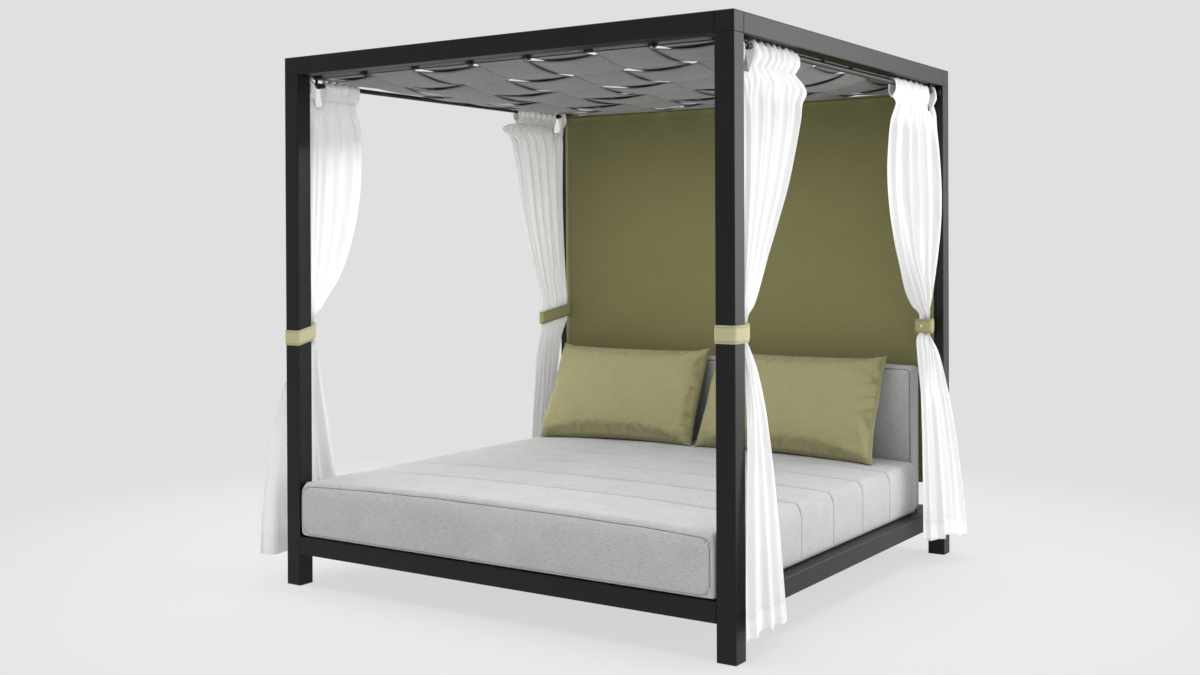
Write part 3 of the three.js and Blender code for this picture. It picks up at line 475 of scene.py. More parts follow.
    # a thin closed body: the sheet raised by its thickness, joined to itself turned over
    raised = nodeOf(tree, "GeometryNodeExtrudeMesh",
                    {"Individual": False, "Mesh": strip, "Offset Scale": g["Thickness"]})
    under = nodeOf(tree, "GeometryNodeFlipFaces", dict(Mesh=strip))
    both = nodeOf(tree, "GeometryNodeJoinGeometry", {0: raised.outputs["Mesh"]})
    feed(tree, both.inputs[0], under.outputs[0])
    made = nodeOf(tree, "GeometryNodeMergeByDistance", dict(Geometry=both.outputs[0], Distance=0.00002))
    for kind in ("GeometryNodeSetShadeSmooth", "GeometryNodeRealizeInstances"):
        made = nodeOf(tree, kind, dict(Geometry=made.outputs[0]))
    coloured = nodeOf(tree, "GeometryNodeSetMaterial", dict(Geometry=made.outputs[0], Material=g["Material"]))
    feed(tree, out[0], coloured.outputs[0])
    return tree


def makeCanopy():
    tree = makeStrapTree()
    crossRod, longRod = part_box("canopy_rod_right"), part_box("canopy_rod_back")
    rodX, rodY = (crossRod[0].x + crossRod[1].x) / 2, (longRod[0].y + longRod[1].y) / 2
    rodZ = (crossRod[0].z + crossRod[1].z) / 2
    loop = (crossRod[1].z - crossRod[0].z) / 2 + canopy["rodGap"]
    pitch = 2 * (postInner - canopy["fieldInset"]) / canopy["straps"]
    for isCross in (True, False):
        flat = [canopy["flatnessX"], canopy["flatnessY"]][::1 if isCross else -1]
        reach = [rodX, rodY][::1 if isCross else -1]
        for index in range(canopy["straps"]):
            name = f"{'cross' if isCross else 'long'}_strap_{index + 1}"
            parity = 1 if (index + (0 if isCross else 1)) % 2 == 0 else -1
            place = index - (canopy["straps"] - 1) / 2
            trimmed = (0,) if isCross else (0, canopy["straps"] - 1)
            trim = canopy["edgeTrim"] if index in trimmed else 0.0
            width = pitch - canopy["gap"] - trim
            strap = withTree(linked(f"woven_{name}", bpy.data.meshes.new(name)), tree, {
                "Reach": reach[0], "Other Reach": reach[1], "Width": width, "Pitch": pitch,
                "Parity": float(parity), "Centre": place * pitch - math.copysign(trim / 2, place),
                "Sag": canopy["sag"], "Flatness Along": flat[0], "Flatness Across": flat[1],
                "Slack": canopy["slack"] if isCross else 0.0, "Curl": canopy["curl"],
                "Weave": canopy["weave"], "Loop": loop, "Thickness": canopy["thickness"],
                "Sewn Back": canopy["sewnBack"], "Blend In": canopy["blendIn"], "Rod Height": rodZ,
                "Across Y": 0.0 if isCross else 1.0, "Samples": canopy["samples"],
                "Columns": canopy["across"], "Material": finishes["canopyWeave"],
            })
            finished(strap, finishes["canopyWeave"], "frame", name, slot="canopy_weave")
    print("canopy straps:", 2 * canopy["straps"])


# curtains

# Distances from the post's inner face along the rod, heights, and folds. Lead edges run from the tie up.
curtains = dict(
    front_left=dict(
        lead=[(1.082, 0.055), (1.179, 0.125), (1.280, 0.216), (1.436, 0.296), (1.621, 0.348),
              (1.834, 0.360), (1.950, 0.345), (2.020, 0.315)],
        header=0.322, waist=0.050, farHalf=0.008, tieZ=1.051, tieRise=0.011, hemFar=0.300, hemNear=-0.055,
        hemNearX=1.252, hemFarX=1.050, flare=0.72, hemZ=0.100, folds=4.0, pleats=7, bulge=0.014, seed=3.0),
    front_right=dict(
        lead=[(1.135, 0.086), (1.214, 0.150), (1.353, 0.236), (1.477, 0.310), (1.605, 0.390),
              (1.753, 0.470), (1.867, 0.526), (1.929, 0.542), (1.972, 0.570), (2.022, 0.502)],
        header=0.480, waist=0.084, farHalf=0.010, tieZ=1.106, tieRise=0.0, hemFar=0.255, hemNear=-0.052,
        hemNearX=1.108, hemFarX=1.054, flare=0.62, hemZ=0.085, folds=5.0, pleats=9, bulge=0.016, seed=11.0),
    back_right=dict(
        lead=[(1.075, 0.118), (1.110, 0.160), (1.164, 0.215), (1.280, 0.318), (1.425, 0.430), (1.566, 0.498),
              (1.721, 0.530), (1.848, 0.524), (1.960, 0.506), (2.017, 0.470)],
        header=0.515, waist=0.108, near=0.040, farHalf=0.036, tieZ=1.040, tieRise=0.0, hemFar=0.290,
        hemNear=0.020, hemNearX=1.190, hemFarX=1.035, flare=0.50, spread=0.42, hemZ=0.115, folds=5.0,
        pleats=7, bulge=0.048, farBulge=-0.25, fuller=0.45, seed=23.0),
    back_left=dict(
        lead=[(1.085, 0.250), (1.126, 0.257), (1.345, 0.325), (1.529, 0.392), (1.742, 0.436),
              (1.900, 0.474), (1.960, 0.500), (1.990, 0.556), (2.012, 0.552)],
        header=0.446, waist=0.258, farHalf=0.012, tieZ=1.054, tieRise=-0.041, hemFar=0.260, hemNear=0.020,
        hemNearX=1.150, hemFarX=1.054, flare=0.53, hemZ=0.100, folds=5.0, pleats=9, bulge=0.014, seed=37.0),
)
curtainCloth = dict(thickness=0.0014, columns=230, rows=150, pocketRows=20, headerDrop=0.060, ruffle=0.004,
                    pocketRadius=0.0175, pocketCloth=0.18, nearPost=0.020, hem=0.075, notchAt=0.0865,
                    notchHalf=0.024, notchEase=0.010, notchDrop=0.036, tieGap=0.006,
                    width=1.25, hemStitch=0.010, headStitch=0.012)
# in the pocket: how pleats swell, bend and crease it, and how little of it is left under the hook
pocketShape = dict(pleatSwell=0.005, swellNoise=0.002, flatTop=0.84, underHook=0.006, thinEdge=0.0016,
                   thinMiddle=0.005, wideFrom=0.016, wideOver=0.050, pleatFade=0.055, fineCrease=0.0022,
                   topNoise=0.0028, stitchNoise=0.0030, pleatShift=0.036, pleatLeast=0.0030,
                   pleatNoise=0.0040, pleatSide=0.003)
# below it: how folds open from the stitch, close at the tie and open again to the hem
dropShape = dict(hemWave=0.007, hemNoise=0.004, headerEase=0.020, openOver=0.16, nearFrom=0.5, waistFrom=0.94,
                 closeFrom=0.45, openBelow=0.40, fullAbove=0.11, fullOver=0.085, puff=0.007, puffBelow=0.045,
                 puffOver=0.035, foldReach=0.017, lowFolds=0.6, lowReach=(0.011, 0.018), hemFold=0.026,
                 gather=0.32, slowGather=0.20, leastHalf=0.003, insideTie=0.0035, pleatRun=0.075,
                 crease=0.0042, roll=0.34, edgeShare=0.09, rollShare=0.08)
tieSizes = dict(height=0.062, thickness=0.0025, clothShare=0.7, clearance=0.002, corner=0.0096,
                nearHalfRear=0.019, rearInset=0.018, slack=0.004, edgeLine=0.006, lineHalf=0.0035,
                puff=0.0016, wobble=0.0008, edgeWave=0.0012, steps=16, cornerSteps=6, studInset=0.006,
                studRadius=0.0062, studRise=0.0026, studSides=20)


def cornerSigns(corner):
    return (-1 if "left" in corner else 1), (-1 if "front" in corner else 1)


def placed(corner, outwards, distance, z):
    # a point of a curtain or tie, from its distance across the rod's plane and from the post
    side, end = cornerSigns(corner)
    return Vector((side * outwards, end * (postInner - distance), z))


def tieCentre(corner):
    return rodPlane - (tieSizes["rearInset"] if "back" in corner else 0.0)


def tieHalf(corner, distance):
    # half the band's inner width at a distance from the post
    values = curtains[corner]
    near = postWidth / 2 + tieSizes["clearance"] if "front" in corner else tieSizes["nearHalfRear"]
    share = max(0.0, distance) / (values["waist"] + tieSizes["slack"])
    return near + (values["farHalf"] - near) * share


def ripple(seed, x, y=0.0):
    # each seed's own stretch of the noise
    return wander(x + seed * 1.37, y + seed * 0.61, 3.1)


def folds(u, z, count, seed):
    # uneven folds: their spacing and depth change along the cloth, and they wander with height
    shift = 0.055 * ripple(seed, 2.6 * u, 0.45 * z) + 0.016 * ripple(seed, 7.0 * u)
    phase = 2 * math.pi * count * (u + shift)
    deep = 0.72 + 0.55 * ripple(seed + 2, 2.1 * u, 0.5 * z)
    main = math.sin(phase + seed)
    small = 0.42 * math.sin(2 * phase + 0.9 + 3.0 * ripple(seed + 4, 1.3 * u, 0.8 * z))
    small *= 0.5 + ripple(seed + 6, 3.0 * u, 1.1 * z)
    return clamp((main + 0.12 * math.sin(3 * phase)) * deep + small, -1.2, 1.2), math.cos(phase + seed)


def pleatPhase(values, u):
    uneven = u + pocketShape["pleatShift"] * ripple(values["seed"], 6 * u)
    return 2 * math.pi * values["pleats"] * uneven


def pleatDepth(seed, u):
    return pocketShape["pleatLeast"] + pocketShape["pleatNoise"] * ripple(seed + 14, 8 * u)


def headerPlace(values, u):
    # the distance from the post, how clear it is of the cut under the rod's hook, and the stitch's height
    cloth = curtainCloth
    d = mix(cloth["nearPost"], values["header"], u)
    free = smooth((abs(d - cloth["notchAt"]) - cloth["notchHalf"]) / cloth["notchEase"])
    return d, free, rodHeight - cloth["headerDrop"] - cloth["notchDrop"] * (1 - free)


def pocketPoint(corner, u, share):
    # the rod pocket, from its inner stitch over the rod to its outer stitch
    values, cloth, s = curtains[corner], curtainCloth, pocketShape
    seed = values["seed"]
    d, free, stitch = headerPlace(values, u)
    turn = math.pi * share
    phase = pleatPhase(values, u)
    pleat = math.sin(phase)
    lobe = 0.5 + 0.5 * pleat
    radius = cloth["pocketRadius"] + s["pleatSwell"] * lobe * lobe
    radius += s["swellNoise"] * ripple(seed + 1, 22 * u, 5 * share)
    full = cloth["headerDrop"] + (radius + cloth["ruffle"]) * mix(s["flatTop"], 1.0, lobe)
    lift = mix(s["underHook"], full, free) * math.sin(turn) ** 0.60
    middle = mix(s["thinMiddle"], radius, free)
    wide = mix(s["thinEdge"], middle, smooth((lift + s["wideFrom"]) / s["wideOver"]))
    crease = pleatDepth(seed, u) * pleat * (1 - smooth(lift / s["pleatFade"]))
    crease += s["fineCrease"] * ripple(seed + 3, 30 * u, 2 * share)
    z = stitch + lift + s["topNoise"] * ripple(seed + 9, 14 * u, 3 * share)
    z += s["stitchNoise"] * ripple(seed + 8, 7 * u)
    return placed(corner, rodPlane - math.cos(turn) * wide + crease, d + s["pleatSide"] * math.cos(phase), z)


def dropPoint(corner, u, fall):
    # below the header: gathered into the tie, and open again down to the hem
    values, cloth, s = curtains[corner], curtainCloth, dropShape
    seed, near = values["seed"], values.get("near", cloth["nearPost"])
    around = 2 * math.pi * u
    stitch = headerPlace(values, u)[2]
    hemZ = values["hemZ"] + s["hemWave"] * math.sin(around * 1.5 + seed) + s["hemNoise"] * ripple(seed, 6 * u)
    z = mix(stitch + pocketShape["stitchNoise"] * ripple(seed + 8, 7 * u), hemZ, fall)
    tieZ = values["tieZ"] + values["tieRise"] * (u - 0.5)
    band = tieSizes["height"] / 2 + abs(values["tieRise"]) / 2 + cloth["tieGap"]
    waistX = tieCentre(corner)
    above = z > tieZ
    if above:
        # share is 0 at the header and 1 at the tie
        share = clamp((stitch - z) / (stitch - tieZ - band))
        start = mix(cloth["nearPost"], near, smooth((share - s["nearFrom"]) / (1 - s["nearFrom"])))
        finish = mix(values["header"], keyed(values["lead"], z), smooth((stitch - z) / s["headerEase"]))
        finish = mix(finish, values["waist"], smooth((share - s["waistFrom"]) / (1 - s["waistFrom"])))
        bulge = values["bulge"] * math.sin(math.pi * min(1.0, share * 1.04)) ** 0.8
        centre = mix(rodPlane, waistX, share ** 1.5)
        centreNear, centreFar = centre + bulge, centre + bulge * values.get("farBulge", 0.5)
        opened = smooth((stitch - z) / s["openOver"])
        squeeze = smooth((share - s["closeFrom"]) / (1 - s["closeFrom"]))
        fuller = 1 + values.get("fuller", 0.25) * bell(z - tieZ - band - s["fullAbove"], s["fullOver"])
        count, reach = values["folds"], s["foldReach"]
        # cloth that puffs out just below the header stitches
        puff = s["puff"] * bell(stitch - z - s["puffBelow"], s["puffOver"])
    else:
        # share is 0 at the tie and 1 at the hem
        share = clamp((tieZ - band - z) / (tieZ - band - hemZ))
        opening = share ** values.get("spread", 0.8)
        start = mix(near, values["hemNear"], smooth(share * 1.1) if values["hemNear"] < 0 else opening)
        finish = mix(values["waist"], values["hemFar"], opening ** 0.85)
        early = values["flare"]
        flare = keyed([(0.0, 0.0), (0.1, 0.55 * early), (0.28, early), (0.6, 0.5 + 0.55 * early),
                       (1.0, 1.0)], share)
        centreNear = mix(waistX, values["hemNearX"] - s["hemFold"], flare)
        centreFar = mix(waistX, values["hemFarX"] + s["hemFold"], flare)
        opened, fuller, puff = 1.0, 1.0, 0.0
        squeeze = 1 - smooth(share / s["openBelow"])
        count, reach = s["lowFolds"] * values["folds"], mix(*s["lowReach"], share)
    d = mix(start, finish, u)
    limit = max(s["leastHalf"], tieHalf(corner, d) - s["insideTie"])
    wave, lean = folds(u, z, count, seed + (0 if above else 5.5))
    gathered = s["gather"] * math.sin(around * values["pleats"] * 1.15 + 1.6 * ripple(seed, 5 * u))
    gathered += s["slowGather"] * math.sin(around * 2.2 + seed + 1.5 * ripple(seed + 5, 3 * u, z))
    pleat = math.sin(pleatPhase(values, u))
    fromEdge = min(u, 1 - u)
    edge = mix(0.45, 1.0, smooth(fromEdge / s["edgeShare"]))
    amount = opened * reach * wave * (1 - squeeze) * edge + limit * gathered * squeeze * fuller
    # pleats of the header run out into the cloth below it
    under = math.exp(-max(0.0, stitch - z) / s["pleatRun"]) if above else 0.0
    amount += pleatDepth(seed, u) * pleat * under + puff * mix(0.35, 1.0, abs(pleat))
    creases = s["crease"] * ripple(seed + 12, 13 * u + 4.2 * z, 5.5 * z) * (under + 0.30)
    roll = s["roll"] * reach * lean * opened * (1 - squeeze) * smooth(fromEdge / s["rollShare"])
    return placed(corner, mix(centreNear, centreFar, u) + amount + creases, d + roll, z)


def makeCurtain(corner):
    # each row runs from the post side to the leading edge: first the pocket's, then the drop's
    cloth, values = curtainCloth, curtains[corner]
    across = [c / (cloth["columns"] - 1) for c in range(cloth["columns"])]
    drop = rodHeight - cloth["headerDrop"] - values["hemZ"]
    pocket = [(pocketPoint, i / cloth["pocketRows"]) for i in range(cloth["pocketRows"])]
    below = [(dropPoint, i / cloth["rows"]) for i in range(cloth["rows"] + 1)]
    points, seams, hems, places = [], [], [], []
    for shape, share in pocket + below:
        down = share * drop if shape is dropPoint else (share - 1) * cloth["pocketCloth"]
        fromHem = drop - down
        line = ridge(fromHem - cloth["hem"], cloth["hemStitch"]) if down > 0 else 0.0
        line = max(line, ridge(down, cloth["headStitch"]))
        doubled = down <= 0.02 * drop or fromHem < cloth["hem"]
        for u in across:
            points.append(shape(corner, u, share))
            seams.append(line)
            hems.append(1.0 if doubled else 0.0)
            places.append((u * cloth["width"], down))
    curtain = meshObject(f"voile_{corner}", points, gridFaces(len(pocket + below), cloth["columns"]))
    addFloats(curtain, "seam", seams)
    addFloats(curtain, "hem", hems)
    addUv(curtain, places)
    thicken(curtain, cloth["thickness"])
    finished(curtain, finishes["voile"], f"curtain_{corner}", f"curtain_{corner}", slot="curtain_cloth")


# tie bands

def tieOutline(corner, grow):
    # seen from above, with the post's inner face at Y 0 and the curtain towards +Y
    values, sizes = curtains[corner], tieSizes
    isFront = "front" in corner
    far = values["waist"] + sizes["slack"]
    near = values.get("near", curtainCloth["nearPost"]) - sizes["slack"]
    if isFront:
        near = -postWidth - sizes["clearance"]

    def roundedEnd(y, half, inwards):
        radius = min(sizes["corner"], (half + grow) * 0.8)
        angles = [math.pi / 2 * step / sizes["cornerSteps"] for step in range(sizes["cornerSteps"] + 1)]
        return [(half + grow - radius + radius * math.sin(angle),
                 y - inwards * grow + inwards * radius * (1 - math.cos(angle))) for angle in angles]

    between = ([0.0] if isFront else []) + [far * s for s in (0.3, 0.6) if far * s > near + 0.01]
    right = roundedEnd(near, tieHalf(corner, near), 1)
    right += [(tieHalf(corner, y) + grow, y) for y in between]
    right += reversed(roundedEnd(far, values["farHalf"], -1))
    return right + [(-x, y) for x, y in reversed(right)]


def tieTilt(corner, y):
    values = curtains[corner]
    return values["tieRise"] * (y - values["waist"] / 2) / values["waist"]


def makeTie(corner):
    values, sizes = curtains[corner], tieSizes
    seed, steps, puff = values["seed"], sizes["steps"], sizes["puff"]
    outline = tieOutline(corner, sizes["thickness"] / 2)
    points, seams, places = [], [], []
    lengths = [0.0]
    for a, b in zip(outline, outline[1:] + outline[:1]):
        lengths.append(lengths[-1] + math.hypot(b[0] - a[0], b[1] - a[1]))
    for step in range(steps + 1):
        share = step / steps
        z = (share - 0.5) * sizes["height"]
        swell = puff * (1 - (2 * share - 1) ** 4)
        line = ridge(min(share, 1 - share) * sizes["height"] - sizes["edgeLine"], sizes["lineHalf"])
        for i, (x, y) in enumerate(outline):
            before, after = outline[i - 1], outline[(i + 1) % len(outline)]
            normal = Vector((after[1] - before[1], before[0] - after[0], 0)).normalized()
            wobble = sizes["wobble"] * wander(lengths[i] * 18, 9 * z, seed)
            flat = Vector((x, y, 0)) + normal * (swell + wobble - puff * 0.5)
            edgeWave = sizes["edgeWave"] * wander(lengths[i] * 14, seed, 4.0)
            points.append(placed(corner, tieCentre(corner) + flat.x, flat.y,
                                 values["tieZ"] + z + tieTilt(corner, flat.y) + edgeWave))
            seams.append(line)
            places.append((lengths[i], z))
    band = meshObject(f"band_{corner}", points, gridFaces(steps + 1, len(outline), closed=True))
    addFloats(band, "seam", seams)
    addUv(band, places)
    thicken(band, sizes["thickness"] * sizes["clothShare"])
    cloth = finishes["tieCloth" if "front" in corner else "rearTieCloth"]
    finished(band, cloth, "frame", f"tie_{corner}", slot="tie_cloth")
    if corner == "back_right":
        makeStud(corner)


def makeStud(corner):
    # a domed press stud on the rounded end of a rear tie, from its foot to its tip
    sizes = tieSizes
    _, end = cornerSigns(corner)
    # shares of its radius and of its rise
    profile = [(1.0, -0.2), (1.0, 0.35), (0.86, 0.75), (0.5, 1.0), (0.0, 1.08)]
    sides = sizes["studSides"]
    tip = max(y for _, y in tieOutline(corner, sizes["thickness"])) + sizes["puff"] * 0.5
    centre = placed(corner, tieCentre(corner) - sizes["studInset"], tip,
                    curtains[corner]["tieZ"] + tieTilt(corner, tip))

    def at(share, rise, turn):
        out = sizes["studRadius"] * share
        return centre + Vector((end * out * math.cos(turn), -end * sizes["studRise"] * rise,
                                out * math.sin(turn)))

    points = [at(share, rise, 2 * math.pi * i / sides) for share, rise in profile[:-1] for i in range(sides)]
    points.append(at(*profile[-1], 0.0))
    last = (len(profile) - 2) * sides
    faces = gridFaces(len(profile) - 1, sides, closed=True)
    faces += [(last + i, last + (i + 1) % sides, len(points) - 1) for i in range(sides)]
    faces.append(tuple(range(sides))[::-1])
    finished(meshObject(f"stud_{corner}", points, faces), finishes["studMetal"], "frame")


# cushions

leastStep = 0.0009
# distances from a sewn line at which the mesh has more points
seamSteps = (0.0, 0.002, 0.004, 0.007, 0.011)
channelSteps = (0.0, 0.0016, 0.0035, 0.006, 0.010, 0.016, 0.024)


def spaced(low, high, step, dense=(), fine=channelSteps):
    # places from low to high, about a step apart, with more round each dense place
    count = max(1, round((high - low) / step))
    places = [low + (high - low) * i / count for i in range(count + 1)]
    for centre in dense:
        near = [centre + s * f for f in fine for s in (-1, 1)]
        reach = fine[-1] + step * 0.4
        places = [p for p in places if abs(p - centre) > reach or p in (low, high)]
        places += [p for p in near if low < p < high]
    places = sorted(set(round(p, 6) for p in places))
    kept = [places[0]]
    for p in places[1:]:
        if p - kept[-1] > leastStep:
            kept.append(p)
    kept[-1] = high
    return kept


def boxShell(xs, ys, zs):
    # the six faces of a box as one closed grid mesh: points are (x, y, z), faces point outwards
    index, points, faces = {}, [], []

    def at(i, j, k):
        key = (i, j, k)
        if key not in index:
            index[key] = len(points)
            points.append(Vector((xs[i], ys[j], zs[k])))
        return index[key]

    nx, ny, nz = len(xs) - 1, len(ys) - 1, len(zs) - 1
    for i in range(nx):
        for j in range(ny):
            faces.append((at(i, j, nz), at(i + 1, j, nz), at(i + 1, j + 1, nz), at(i, j + 1, nz)))
            faces.append((at(i, j, 0), at(i, j + 1, 0), at(i + 1, j + 1, 0), at(i + 1, j, 0)))
    for i in range(nx):
        for k in range(nz):
            faces.append((at(i, 0, k), at(i + 1, 0, k), at(i + 1, 0, k + 1), at(i, 0, k + 1)))
            faces.append((at(i, ny, k), at(i, ny, k + 1), at(i + 1, ny, k + 1), at(i + 1, ny, k)))
    for j in range(ny):
        for k in range(nz):
            faces.append((at(0, j, k), at(0, j, k + 1), at(0, j + 1, k + 1), at(0, j + 1, k)))
            faces.append((at(nx, j, k), at(nx, j + 1, k), at(nx, j + 1, k + 1), at(nx, j, k + 1)))
    return points, faces


def rounded(point, low, high, radii):
    # the same point on a box with rounded edges, and the way that it faces
    inner = Vector(clamp(point[i], low[i] + radii[i], high[i] - radii[i]) for i in range(3))
    away = Vector((point[i] - inner[i]) / radii[i] for i in range(3))
    facing = away.normalized()
    return Vector(inner[i] + radii[i] * facing[i] for i in range(3)), facing


def roundedGap(dx, dz, corner):
    # distance outside a line with round corners, from the distances past where its arcs start
    return (math.hypot(dx, dz) if dx > 0 and dz > 0 else max(dx, dz)) - corner


def boxingSeam(point, facing, gap, soft, tight):
    # the point pulled in along a sewn line, and how near to the thread it is
    near, thread = bell(gap, 0.006), bell(gap, 0.0022)
    return point - facing * (soft * near + tight * thread), thread


def makeCushion(name, points, faces, lines):
    cushion = meshObject(f"{name}_cushion", points, faces)
    addFloats(cushion, "seam", lines)
    finished(cushion, finishes["cushionCloth"], name, name, slot="cushion_cloth")
    print(name, "faces:", len(faces))


mattress = dict(firstSeam=0.385, lastSeam=0.325, seams=5, radii=(0.026, 0.022, 0.048),
                lowRadii=(0.022, 0.026, 0.022), crown=0.020, channel=0.005, groove=0.0038, crease=0.0036,
                grooveWidth=0.0090, creaseWidth=0.0024, sideChannel=0.40, step=0.022, lowStep=0.016,
                frontSeamInset=0.018, frontSeamDrop=0.006, seamCorner=0.045, lowSeamRise=0.012,
                seamRows=14, seamRowStep=0.0018, seamDepth=0.0022, frontBulge=0.013, sideBulge=0.002,
                uneven=0.0022, seamWander=0.003, pucker=0.0011, puckerReach=0.03)


def sideCrown(acrossShare):
    # how far the top keeps its full height towards the mattress's long sides
    return mattress["crown"] * (1 - acrossShare ** 2.4)


def mattressRows(low, top):
    # heights of the mesh, close together along the upper boxing seam
    m = mattress
    seam, step = top - m["frontSeamDrop"], m["seamRowStep"]
    band = [seam + step * (i - 6) for i in range(m["seamRows"])]
    zs = spaced(low, top, m["lowStep"], (low + m["lowStep"],), seamSteps)
    clear = [z for z in zs if z < band[0] - 0.002 or z > band[-1] + 0.002 or z == top]
    return [z for z in sorted(clear + band) if z <= top]


def makeMattress():
    low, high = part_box("mattress")
    m = mattress
    top = high.z - m["crown"] - m["channel"]
    seams = [mix(low.y + m["firstSeam"], high.y - m["lastSeam"], i / (m["seams"] - 1))
             for i in range(m["seams"])]
    borders = [low.y] + seams + [high.y]
    seamX = high.x - m["frontSeamInset"]
    middle = (low.z + top) / 2
    xs = spaced(low.x, high.x, m["step"], (-seamX, seamX), seamSteps + (0.016,))
    ys = spaced(low.y, high.y, m["step"], seams)
    shell, faces = boxShell(xs, ys, mattressRows(low.z, top))
    boxLow, boxHigh = Vector(low), Vector((high.x, high.y, top))
    points, lines = [], []
    for p in shell:
        q, facing = rounded(p, boxLow, boxHigh, m["radii"] if p.z > middle else m["lowRadii"])
        up = smooth(facing.z * 1.5)
        acrossShare = clamp(abs(q.x) / high.x)
        which = max(i for i in range(len(borders) - 1) if q.y >= borders[i] - 1e-6 or i == 0)
        along = clamp((q.y - borders[which]) / (borders[which + 1] - borders[which]))
        crown = sideCrown(acrossShare) + m["channel"] * (1 - (2 * along - 1) ** 2) * (1 - acrossShare ** 6)
        crown += m["uneven"] * wander(q.x * 5, q.y * 5, 1.0)
        q = q + Vector((0, 0, crown * up))
        # the front and back faces stand out a little, the sides less
        upright = 2 * clamp((q.z - low.z) / (top - low.z)) - 1
        face = (1 - 0.45 * acrossShare ** 8) * (1 - upright ** 4)
        q.y += facing.y * abs(facing.y) * m["frontBulge"] * face
        q.x += facing.x * abs(facing.x) * m["sideBulge"] * (1 - upright ** 2)
        line = 0.0
        # sewn channels over the top and down both sides
        if facing.z > -0.3 and abs(facing.y) < 0.6:
            for k, s in enumerate(seams):
                t = q.y - s - m["seamWander"] * wander(q.x * 3, k * 3.1, 0.5)
                near, tight = bell(t, m["grooveWidth"]), bell(t, m["creaseWidth"])
                pucker = m["pucker"] * wander(q.x * 26, k * 7.7, q.z * 26) * bell(t, m["puckerReach"])
                strong = mix(m["sideChannel"], 1.0, up)
                q = q - facing * ((m["groove"] * near + m["crease"] * tight) * strong - pucker)
                # the thread line, and a faint painted shade across the whole width of the groove
                line = max(line, tight * mix(0.50, 1.0, up), 0.12 * near * strong)
        # seam round the front and back boxing
        if abs(facing.y) > 0.2:
            inset = min(p.y - low.y, high.y - p.y)
            dx = abs(p.x) - (seamX - m["seamCorner"]) + inset
            dz = max(p.z - (top - m["frontSeamDrop"] - m["seamCorner"]),
                     low.z + m["lowSeamRise"] + m["seamCorner"] - p.z) + inset
            q, thread = boxingSeam(q, facing, roundedGap(dx, dz, m["seamCorner"]), m["seamDepth"],
                                   m["seamDepth"])
            line = max(line, thread * 0.95)
        points.append(q)
        lines.append(line)
    makeCushion("mattress", points, faces, lines)


backrest = dict(radii=(0.020, 0.024, 0.026), crown=0.009, step=0.020, depthStep=0.006, seamInset=0.012,
                seamDrop=0.014, seamCorner=0.02, seamDepth=0.0018, groove=0.003, uneven=0.0015,
                edgeUneven=0.002)


def makeBackrest():
    low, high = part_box("backrest")
    b = backrest
    thick = Vector((0, b["crown"], 0))
    boxLow, boxHigh = low + thick, high - thick
    seamX, seamTop, seamLow = high.x - b["seamInset"], high.z - b["seamDrop"], low.z + b["seamDrop"]
    xs = spaced(low.x, high.x, b["step"], (-seamX, seamX), seamSteps)
    ys = spaced(boxLow.y, boxHigh.y, b["depthStep"])
    zs = spaced(low.z, high.z, b["step"], (seamLow, seamTop), seamSteps)
    shell, faces = boxShell(xs, ys, zs)
    centreZ = (low.z + high.z) / 2
    points, lines = [], []
    for p in shell:
        q, facing = rounded(p, boxLow, boxHigh, b["radii"])
        sx = clamp(abs(q.x) / high.x)
        sz = clamp(abs(q.z - centreZ) / (high.z - centreZ))
        bulge = b["crown"] * (1 - sx ** 6) * (1 - sz ** 3)
        bulge += b["uneven"] * wander(q.x * 4, 3.0, q.z * 5)
        q.y += facing.y * abs(facing.y) * max(0.0, bulge)
        q.z += facing.z * abs(facing.z) * b["edgeUneven"] * wander(q.x * 6, 8.0, 0)
        # the seams where the front and back panels meet the boxing
        line = 0.0
        if abs(facing.y) > 0.15:
            dx = abs(q.x) - (seamX - b["seamCorner"])
            dz = abs(q.z - centreZ) - (seamTop - centreZ - b["seamCorner"])
            q, line = boxingSeam(q, facing, roundedGap(dx, dz, b["seamCorner"]), b["seamDepth"], b["groove"])
        points.append(q)
        lines.append(line)
    makeCushion("backrest", points, faces, lines)


pillow = dict(width=0.874, height=0.494, columns=98, rows=56, start=0.062, thickness=0.174, frames=22,
              pressure=4.0, cap=0.028, quickDepth=0.087, lean=26.0, footFromBackrest=0.243, sink=0.030,
              spread=0.030, footHeight=0.22, crease=0.0075, fullSides=0.045, fullEnds=0.022, pressed=0.018,
              lift=0.003, tall=0.503, seamInset=0.0095, seamHalf=0.006, clearMattress=0.001,
              clearBackrest=0.002)
filling = dict(quality=6, mass=0.25, tension_stiffness=25, compression_stiffness=12, shear_stiffness=6,
               bending_stiffness=0.6, use_pressure=True, air_damping=4)


def pillowShell(name):
    # a front and a back sheet that share their rim, lying in X and Z
    index, points, faces, rims = {}, [], [], []
    width, height, columns, rows = (pillow[key] for key in ("width", "height", "columns", "rows"))

    def at(face, i, j):
        rim = i in (0, columns) or j in (0, rows)
        key = (0 if rim else face, i, j)
        if key not in index:
            index[key] = len(points)
            a, b = 2 * i / columns - 1, 2 * j / rows - 1
            depth = 0 if rim else face * pillow["start"] * ((1 - a * a) * (1 - b * b)) ** 0.42
            jitter = 0.0022 * wander(i * 0.35, j * 0.35, face * 3.3)
            # the sides are cut with a slight curve inwards, which the filling draws in further
            inX, inZ = 0.010 * (1 - b * b), 0.012 * (1 - a * a)
            points.append(Vector((a * (width / 2 - inX), depth + jitter, b * (height / 2 - inZ))))
            rims.append(min(min(i, columns - i) * width / columns, min(j, rows - j) * height / rows))
        return index[key]

    for face in (-1, 1):
        for i in range(columns):
            for j in range(rows):
                quad = (at(face, i, j), at(face, i + 1, j), at(face, i + 1, j + 1), at(face, i, j + 1))
                faces.append(quad if face < 0 else quad[::-1])
    return meshObject(name, points, faces), rims


